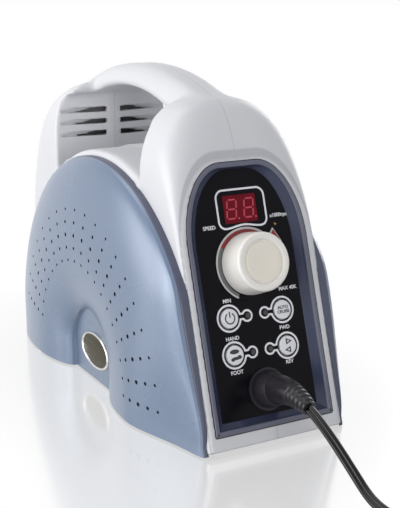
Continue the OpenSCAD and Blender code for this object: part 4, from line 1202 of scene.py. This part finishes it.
    def _dial(self) -> None:
        """The dial's printed sweep: grey from the low end, red over the top, ending in an arrow."""
        at = (0.0, self.knob_v)
        flat = rounded([(9.0, 0.0, 0), (self.dial_r, 0.0, 0.1), (self.dial_r, 0.45, 0.3), (9.0, 0.5, 0)])
        add_piece("dial_plate", *SLOPE.turned(flat, *at, 120), Look.PANEL, stands_for=["dial_ring"],
                  slot="dial_grey")
        r, lift, (low, turn, high) = self.dial_r, self.dial_lift, self.dial_turns
        pale = arc_band(at, (r, r), (0.8, 1.1), low, high, lift, 90)
        grey = arc_band(at, (r - 0.8, r - 0.9), (1.4, 2.6), low - 1, turn, lift)
        red = arc_band(at, (r - 0.9, r - 1.1), (4.6, 4.6), turn, high + 2, lift)
        add_piece("dial_pale_line", *pale, Look.INK_PALE, slot="dial_grey")
        add_piece("dial_grey_sweep", *grey, Look.INK_GREY, slot="dial_grey")
        add_piece("dial_red_sweep", *red, Look.INK_RED, slot="lamp_red")
        head = np.array([[13.9, 97.2], [16.2, 100.0], [19.4, 94.6], [15.6, 93.4]])
        middle = head.mean(0)
        edge = middle + (head - middle) * self.arrow_edge
        add_piece("dial_arrow_edge", *patch(edge, 0.0), Look.INK_PALE, slot="dial_grey")
        add_piece("dial_arrow", *patch(head, lift), Look.INK_RED, slot="lamp_red")
        tick = np.array([[17.4, 103.4], [18.9, 102.7], [17.8, 101.8]])
        add_piece("dial_tick", *patch(tick, 0.0), Look.INK_GOLD, slot="lamp_red")

    def _knob(self) -> None:
        """The knob: a tapered drum with a rounded crown, and a cap let into its dished face."""
        r, h, lift = self.knob_r, self.knob_h, self.knob_lift
        drum = rounded([(10.0, lift + 3, 0), (10.0, lift, 0.2), (r, lift, 0.4), (r, lift + 1.4, 0.6),
                        (r - 1.1, h, 1.5), (10.7, h - 0.15, 0.5), (10.0, h - 1.3, 0.2), (0.0, h - 1.4, 0)], 9)
        add_piece("knob_drum", *SLOPE.turned(drum, 0, self.knob_v, 144), Look.KNOB, "knob", ["speed_knob"],
                  "knob_ivory")
        cap = rounded([(9.45, h - 1.35, 0), (9.45, h - 0.35, 0.35), (7.0, h - 0.35, 3.0),
                       (0.0, h - 0.75, 0)], 8)
        add_piece("knob_face_cap", *SLOPE.turned(cap, 0, self.knob_v, 144), Look.KNOB_FACE, "knob",
                  ["knob_cap"], "knob_ivory")
        dress(["pot_shaft", "pot_nut"], Look.STEEL)
        dress(["pot_body"], Look.NYLON)

    def _keyhole(self, side: int, v: float, shrink: float) -> Array:
        """Outline round a key and its lamp: two circles joined by a waisted neck.

        Args:
            side: -1 for the keys on the left, 1 for those on the right.
            v: Row of the key.
            shrink: How far the outline is drawn in.

        Returns:
            Closed outline on the panel.
        """
        big, small, gap = self.ring_r - shrink, 3.0 - shrink, self.key_u - self.lamp_u
        x = -big + (big + gap + small) * (1 - np.cos(np.linspace(0, math.pi, 72))) / 2
        key = np.sqrt(np.maximum(big ** 2 - x ** 2, 0))
        lamp = np.sqrt(np.maximum(small ** 2 - (x - gap) ** 2, 0))
        neck = np.where((x > 0) & (x < gap), 1.75 - shrink + 0.03 * (x - gap * 0.72) ** 2, 0)
        half = np.maximum(np.maximum(key, lamp), neck)
        loop = np.concatenate([np.stack([x, half], -1), np.stack([x, -half], -1)[-2:0:-1]])
        return loop * [-side, 1] + [side * self.key_u, v]

    def _keys(self) -> None:
        """Keys with domed caps, the white keyholes round them and a plain sign on each."""
        spots = [("power", -1, 0), ("cruise", 1, 0), ("hand_foot", -1, 1), ("direction", 1, 1)]
        for name, side, row in spots:
            u, v = side * self.key_u, self.key_rows[row]
            r, h, flange = self.key_r, self.key_h, self.key_r + 1
            shape = rounded([(0.0, -3.0, 0), (flange, -3.0, 0.1), (flange, -2.15, 0.1), (r, -2.15, 0.05),
                             (r, h, 0.7), (0.0, h + 0.15, 0)], 7)
            add_piece(f"{name}_key_cap", *SLOPE.turned(shape, u, v, 72), Look.KEY, f"{name}_key",
                      [f"{name}_button"], "button_grey")
            add_piece(f"{name}_key_sign", *joined(self._sign(name, u, v)), Look.INK_DARK, f"{name}_key",
                      slot="panel_black")
        outlines = [band(self._keyhole(side, v, 0), self._keyhole(side, v, self.line), 0.0)
                    for side in (-1, 1) for v in self.key_rows]
        add_piece("key_white_lines", *joined(outlines), Look.INK_WHITE, slot="button_grey")
        dress(["indicator_lamps"], Look.LAMP)

    def _sign(self, name: str, u: float, v: float) -> list[tuple[Array, list]]:
        """Plain signs: a power mark, two words, a hand over a foot, and a pair of arrowheads.

        Args:
            name: Name of the key.
            u: Its middle across the panel.
            v: Its middle up the slope.

        Returns:
            Points and faces of each mark.
        """
        lift, at = self.key_h + 0.1, np.array([u, v])
        if name == "power":
            bar = np.array([[-0.3, 0.3], [0.3, 0.3], [0.3, 3.1], [-0.3, 3.1]]) + at
            return [arc_band((u, v), (2.8, 2.8), (0.6, 0.6), 120, 420, lift), patch(bar, lift)]
        if name == "cruise":
            return [self._letters("AUTO", u, v + 1.05, self.key_word_size, lift),
                    self._letters("CRUISE", u, v - 1.05, self.key_word_size, lift)]
        if name == "hand_foot":
            ring = arc(0, 345, 24)
            blobs = (((-0.3, 1.7), (2.5, 1.1)), ((0.2, -1.5), (2.3, 0.75)), ((2.0, -1.1), (1.2, 0.95)),
                     ((-1.6, -1.9), (1.1, 0.8)))
            return [patch(at + middle + np.array(half) * ring, lift + 0.01 * i)
                    for i, (middle, half) in enumerate(blobs)]
        head = np.array([[-1.1, 3.6], [-1.1, 0.5], [2.3, 2.0]])
        core = head.mean(0) + 0.42 * (head - head.mean(0))
        return [band(at + head * turn, at + core * turn, lift) for turn in (1, -1)]

    def build(self) -> None:
        """Everything on the panel, and the electrics behind it."""
        self._display()
        self._dial()
        self._knob()
        self._keys()
        self._words()
        dress(["display_module", "tact_switches"], Look.NYLON)
        dress(["control_board"], Look.BOARD)
        dress(["board_posts"], Look.STEEL)


def curve_through(points: Array, spacing: float) -> Array:
    """A smooth line through points, resampled evenly.

    Each stretch is a cubic whose slope at a point is half the way from the point before to the point after.

    Args:
        points: Points that the line goes through.
        spacing: Distance between its own points.

    Returns:
        Points of the line.
    """
    padded = np.concatenate([2 * points[:1] - points[1:2], points, 2 * points[-1:] - points[-2:-1]])
    t = np.linspace(0, 1, 24, endpoint=False)[:, None]
    p0, p1, p2, p3 = (padded[i:len(padded) - 3 + i, None] for i in range(4))
    fine = 0.5 * (2 * p1 + (p2 - p0) * t + (2 * p0 - 5 * p1 + 4 * p2 - p3) * t ** 2
                  + (3 * p1 - p0 - 3 * p2 + p3) * t ** 3)
    fine = np.concatenate([fine.reshape(-1, 3), points[-1:]])
    return resample(fine, spacing)


def resample(line: Array, spacing: float) -> Array:
    """A line with its points spread evenly.

    Args:
        line: Points of the line.
        spacing: Distance between the new points, about.

    Returns:
        The new points.
    """
    run = np.concatenate([[0], np.cumsum(np.linalg.norm(np.diff(line, axis=0), axis=1))])
    even = np.linspace(0, run[-1], max(2, int(round(run[-1] / spacing)) + 1))
    return np.stack([np.interp(even, run, line[:, k]) for k in range(3)], -1)


def tube(line: Array, radius: Array, sides: int, section: Array | float = 1.0) -> tuple[Array, Array]:
    """A closed tube round a line.

    Args:
        line: Centre line.
        radius: Radius at each of its points.
        sides: Points round a ring.
        section: Share of the radius at each point round a ring.

    Returns:
        Points and faces, with the ends closed to their middle.
    """
    ahead = np.gradient(line, axis=0)
    ahead /= np.linalg.norm(ahead, axis=1, keepdims=True)
    side = np.cross(ahead, [0.0, 0.0, 1.0])
    side /= np.linalg.norm(side, axis=1, keepdims=True)
    up = np.cross(side, ahead)
    angle = np.linspace(0, 2 * math.pi, sides, endpoint=False)
    r = radius[:, None] * np.broadcast_to(section, sides)
    rings = line[:, None] + r[..., None] * (np.cos(angle)[None, :, None] * side[:, None]
                                            + np.sin(angle)[None, :, None] * up[:, None])
    ends = [np.repeat(line[i][None, None], sides, 1) for i in (0, -1)]
    rings = np.concatenate([ends[0], rings, ends[1]])
    return rings, grid_faces(*rings.shape[:2], wrap_cols=True)


@dataclass
class HandpieceCord:
    """Socket, plug, boot and the cord, which runs down to the desk and into a tied coil by the handpiece."""

    socket_v: float = 25.3
    plug_start: float = 1.4
    plug_len: float = 8.5
    plug_radii: tuple[float, float] = (9.0, 7.4)
    boot_len: float = 26.0
    boot_bend: float = math.radians(36)
    boot_radii: tuple[float, float] = (7.3, 3.6)
    ribs: int = 5
    smooth: float = 0.5
    diameter: float = 5.0
    strand: float = 1.35
    coil_centre: tuple[float, float] = (57.0, -247.0)
    coil_r: float = 44.0
    coil_gap: float = 0.6
    coil_start: float = 210.0
    coil_turns: float = 6 + 150 / 360
    coil_low: float = 3.5
    climb: float = 0.5
    hand_y: float = -221.0
    hand_z: float = 13.5
    spacing: float = 2.0
    turn_steps: int = 48
    boot_steps: int = 190
    boot_taper: float = 1.15
    rib_depth: float = 0.8
    cord_sides: int = 36
    route: tuple[tuple[float, float, float], ...] = (
        (0, -148, 23.4), (0, -153.5, 20.9), (0, -159, 18.1), (0, -164.5, 15), (0, -170, 11.8),
        (0, -175.5, 8.6), (-0.2, -181, 5.8), (-0.4, -187, 3.7), (-0.4, -194, 2.8), (0, -203, 2.6),
        (1, -215, 2.6), (3, -227, 2.7), (6, -239, 3), (10, -251, 3.3))

    def _boot_line(self, share: Array) -> tuple[Array, Array]:
        """Centre line of the boot, a bow in the upright plane.

        Args:
            share: Places along it, from 0 to 1.

        Returns:
            Points there, and the headings.
        """
        reach = self.plug_start + self.plug_len
        base = SLOPE.place(0.0, self.socket_v, reach)
        bow = self.boot_len / self.boot_bend
        lean = SLOPE.lean - self.boot_bend * share
        flat = 0 * lean
        line = base + bow * np.stack([flat, np.sin(lean) - math.sin(SLOPE.lean),
                                      np.cos(lean) - math.cos(SLOPE.lean)], -1)
        return line, np.stack([flat, -np.cos(lean), np.sin(lean)], -1)

    def _coil(self) -> tuple[Array, Array, Array]:
        """The coil's turns: inwards on the lower layer, half a turn up, and outwards on the upper layer.

        Returns:
            Points of the coil, and the points a diameter before its start and past its end.
        """
        turn = np.linspace(0, self.coil_turns, int(self.coil_turns * self.turn_steps))
        pitch = self.diameter + self.coil_gap
        radius = self.coil_r - pitch * np.minimum(turn, self.coil_turns - turn)
        layer = (self.coil_turns - self.climb) / 2
        f = np.clip((turn - layer) / self.climb, 0, 1)
        angle = np.radians(self.coil_start + 360 * turn)
        x, y = self.coil_centre
        points = np.stack([x + radius * np.cos(angle), y + radius * np.sin(angle),
                           self.coil_low + pitch * f * f * (3 - 2 * f)], -1)
        heading = np.stack([-np.sin(angle), np.cos(angle), 0 * angle], -1)
        return points, points[0] - self.diameter * heading[0], points[-1] + self.diameter * heading[-1]

    def _cord_line(self) -> Array:
        """The cord's whole centre line, from the boot's tip to the handpiece.

        Returns:
            Points of the line.
        """
        tip, heading = self._boot_line(np.array([1.0]))
        coil, before, after = self._coil()
        lead_in = before + (before - coil[0])
        lead = np.concatenate([tip, tip + self.diameter * heading, np.array(self.route), lead_in[None],
                               before[None]])
        hand = np.array([self.coil_centre[0] + self.coil_r, self.hand_y, self.hand_z])
        tail = np.array([after, after + [0, self.diameter, 0.4], hand - [0, self.diameter, 0.2], hand])
        ends = [curve_through(part, self.spacing) for part in (lead, tail)]
        return resample(np.concatenate([ends[0], coil, ends[1]]), self.spacing)

    def build(self) -> None:
        """Plug, ribbed boot and cord."""
        d, (wide, slim) = self.plug_start, self.plug_radii
        shape = rounded([(0.0, d, 0), (wide, d, 0.5), (wide, d + 3.0, 3.0), (slim, d + self.plug_len, 0.2),
                         (0.0, d + self.plug_len, 0)], 8)
        plug = add_piece("plug_grip", *SLOPE.turned(shape, 0, self.socket_v, 96), Look.NYLON, UNIT,
                         ["plug_body"], "panel_black")
        share = np.linspace(0, 1, self.boot_steps)
        line, _ = self._boot_line(share)
        ribbed = np.clip((share - self.smooth) / (1 - self.smooth), 0, 1)
        wave = 0.5 + 0.5 * np.cos(2 * math.pi * self.ribs * ribbed)
        taper = self.boot_radii[0] + (self.boot_radii[1] - self.boot_radii[0]) * share ** self.boot_taper
        radius = taper - self.rib_depth * np.clip(1.6 - 2.4 * wave, 0, 1)
        boot = add_piece("plug_ribbed_boot", *tube(line, radius, 48), Look.BOOT, UNIT, ["plug_boot"],
                         "cord_black")
        dress(["socket_shell"], Look.NYLON)
        dress(["socket_nut"], Look.PANEL)
        dress(["plug_sleeve"], Look.STEEL)
        dress(["plug_pins"], Look.BRASS)
        dress(["socket_insulator"], Look.KNOB)
        dress(["cord_tie"], Look.STRAP)
        path = self._cord_line()
        # Three round strands side by side: each third of the ring is the far side of a strand's circle
        angle = np.linspace(0, 2 * math.pi, self.cord_sides, endpoint=False)
        third = 2 * math.pi / 3
        off = (angle - math.pi / 2 + third / 2) % third - third / 2
        apart = self.diameter / 2 - self.strand
        lobes = apart * np.cos(off) + np.sqrt(self.strand ** 2 - (apart * np.sin(off)) ** 2)
        cord = add_piece("handpiece_cord", *tube(path, np.ones(len(path)), self.cord_sides, lobes),
                         Look.CORD, UNIT, ["cord_lead", "cord_coil", "cord_tail"], "cord_black", sharp=75)


class Fittings:
    """The carried-over solids: the handpiece, the base, the power supply and the rear fittings."""

    def build(self) -> None:
        """Gives each solid its finish."""
        dress(["handpiece_boot", "handpiece_rear_cap"], Look.CORD)
        dress(["motor_sleeve", "handpiece_nose"], Look.ALLOY)
        dress(["chuck_ring"], Look.NYLON)
        dress(["motor_rotor", "rear_bearing", "front_bearing", "collet_spindle", "base_screws", "inlet_pins",
               "transformer_core"], Look.STEEL)
        dress(["motor_stator", "transformer_winding"], Look.COPPER)
        dress(["base_plate"], Look.BASE)
        dress(["rubber_feet"], Look.RUBBER)
        dress(["mains_inlet", "fuse_cap", "rocker_frame", "power_rocker", "foot_socket"], Look.NYLON)


@dataclass
class Studio:
    """The camera at the photograph's view, a flat pale floor, and soft lights."""

    azimuth: float = math.radians(28.931)
    elevation: float = math.radians(14.643)
    camera_at: tuple[float, float, float] = (-258.459, -505.1, 214.794)
    focal_px: float = 1073.18
    frame_px: int = 508
    sensor_mm: float = 36.0
    floor_m: tuple[float, float] = (0.11, 0.22)
    floor_narrow: float = 1.7
    floor_white: float = 0.9
    floor_mirror: float = 0.32
    surround: float = 0.36
    # Name, place, aim, width and height in metres, and watts. The sheen box draws the cover's bright edge
    lamps: tuple[tuple, ...] = (
        ("key_box", (-1.45, -0.1, 0.4), (0, -0.02, 0.08), (0.9, 0.8), 11.5),
        ("sheen_box", (-1.25, 0.52, 0.2), (0, -0.04, 0.07), (0.9, 0.7), 8),
        ("top_box", (-0.3, 0.5, 1.5), (0, 0, 0.08), (1.0, 1.0), 6),
        ("front_box", (-0.3, -1.7, 0.25), (0, -0.05, 0.08), (0.7, 0.7), 11),
        ("fill_box", (1.3, 0.6, 0.6), (0, 0, 0.08), (0.9, 0.9), 8))

    def _camera(self) -> None:
        """A level camera without shift, its lens worked out from the focal length in pixels."""
        data = bpy.data.cameras.new("photo_view")
        data.sensor_width = self.sensor_mm
        data.lens = self.sensor_mm * self.focal_px / self.frame_px
        data.clip_start, data.clip_end = 0.01, 20
        camera = bpy.data.objects.new("photo_view", data)
        camera.location = [c * MM for c in self.camera_at]
        camera.rotation_euler = (math.pi / 2 - self.elevation, 0, -self.azimuth)
        bpy.context.scene.collection.objects.link(camera)
        bpy.context.scene.camera = camera

    def _floor(self) -> None:
        """A pale, faintly glossy sheet that the camera sees turn white some way from the object."""
        mesh = bpy.data.meshes.new("studio_floor")
        mesh.from_pydata([(-9, -9, 0), (9, -9, 0), (9, 9, 0), (-9, 9, 0)], [], [(0, 1, 2, 3)])
        floor = bpy.data.objects.new("studio_floor", mesh)
        bpy.context.scene.collection.objects.link(floor)
        material = bpy.data.materials.new("studio_floor_acrylic")
        material.use_nodes = True
        tree = material.node_tree
        shader = tree.nodes["Principled BSDF"]
        shader.inputs["Base Color"].default_value = srgb("#8e8f93")
        shader.inputs["Roughness"].default_value = 0.4
        place = add_node(tree, "ShaderNodeTexCoord")
        narrow = add_node(tree, "ShaderNodeMapping", {"Scale": (self.floor_narrow, 1, 0)},
                          {"Vector": place.outputs["Object"]})
        reach = add_node(tree, "ShaderNodeVectorMath", {"operation": "LENGTH"}, {0: narrow.outputs[0]})
        fade = add_node(tree, "ShaderNodeMapRange",
                        {"interpolation_type": "SMOOTHSTEP", "From Min": self.floor_m[0],
                         "From Max": self.floor_m[1], "To Min": self.floor_white},
                        {"Value": reach.outputs["Value"]})
        share = add_node(tree, "ShaderNodeMath", {"operation": "MULTIPLY"},
                         {0: fade.outputs[0], 1: self._clear_rays(tree)})
        white = add_node(tree, "ShaderNodeEmission", {"Color": srgb("#ffffff"), "Strength": 1.0})
        mirror = add_node(tree, "ShaderNodeBsdfGlossy", {"Color": srgb("#ffffff"), "Roughness": 0.14})
        clear = add_node(tree, "ShaderNodeMixShader", {0: self.floor_mirror},
                         {1: white.outputs[0], 2: mirror.outputs[0]})
        mix = add_node(tree, "ShaderNodeMixShader", None,
                       {0: share.outputs[0], 1: shader.outputs[0], 2: clear.outputs[0]})
        tree.links.new(mix.outputs[0], tree.nodes["Material Output"].inputs["Surface"])
        mesh.materials.append(material)

    def _clear_rays(self, tree: bpy.types.NodeTree) -> bpy.types.NodeSocket:
        """One for rays from the camera and those that gloss or glass sends on, nought for lighting rays.

        Args:
            tree: Node tree that gets the nodes.

        Returns:
            The output socket.
        """
        seen = add_node(tree, "ShaderNodeLightPath")
        sent = add_node(tree, "ShaderNodeMath", {"operation": "MAXIMUM"},
                        {0: seen.outputs["Is Glossy Ray"], 1: seen.outputs["Is Transmission Ray"]})
        return add_node(tree, "ShaderNodeMath", {"operation": "MAXIMUM"},
                        {0: seen.outputs["Is Camera Ray"], 1: sent.outputs[0]}).outputs[0]

    def _lamp(self, name: str, at: tuple[float, float, float], aim: tuple[float, float, float],
              size: tuple[float, float], watts: float) -> None:
        """Adds a soft box that faces a point.

        Args:
            name: Its name.
            at: Its place in metres.
            aim: Point that it faces.
            size: Its width and height.
            watts: Its power.
        """
        data = bpy.data.lights.new(name, "AREA")
        data.shape = "RECTANGLE"
        data.size, data.size_y, data.energy = *size, watts
        lamp = bpy.data.objects.new(name, data)
        lamp.location = at
        ahead = np.array(aim) - np.array(at)
        tilt = math.acos(-ahead[2] / np.linalg.norm(ahead))
        lamp.rotation_euler = (tilt, 0, math.atan2(ahead[0], -ahead[1]) + math.pi)
        bpy.context.scene.collection.objects.link(lamp)

    def _world(self) -> None:
        """An even surround: white to the camera and in reflections, dimmer as light on the object."""
        world = bpy.data.worlds.new("studio_white")
        bpy.context.scene.world = world
        world.use_nodes = True
        tree = world.node_tree
        tree.nodes.clear()
        lit = add_node(tree, "ShaderNodeBackground", {"Color": srgb("#f4f7ff"), "Strength": self.surround})
        white = add_node(tree, "ShaderNodeBackground", {"Color": srgb("#ffffff"), "Strength": 1.0})
        mix = add_node(tree, "ShaderNodeMixShader", None,
                       {0: self._clear_rays(tree), 1: lit.outputs[0], 2: white.outputs[0]})
        add_node(tree, "ShaderNodeOutputWorld", None, {"Surface": mix.outputs[0]})

    def build(self) -> None:
        """Camera, floor, surround and soft boxes."""
        bpy.context.scene.view_settings.view_transform = "Standard"
        self._camera()
        self._floor()
        self._world()
        for lamp in self.lamps:
            self._lamp(*lamp)


def main() -> None:
    """Builds the studio first, then the cord, and then the rest of the object."""
    logging.basicConfig(level=logging.INFO, format="%(name)s %(message)s")
    Studio().build()
    HandpieceCord().build()
    Housing().build()
    for side, node in ((-1, "left_side_cover"), (1, "right_side_cover")):
        SideCover().build(side, node)
    Badges().build()
    FRONT.build()
    Controls().build()
    Fittings().build()


if __name__ == "__main__":
    main()
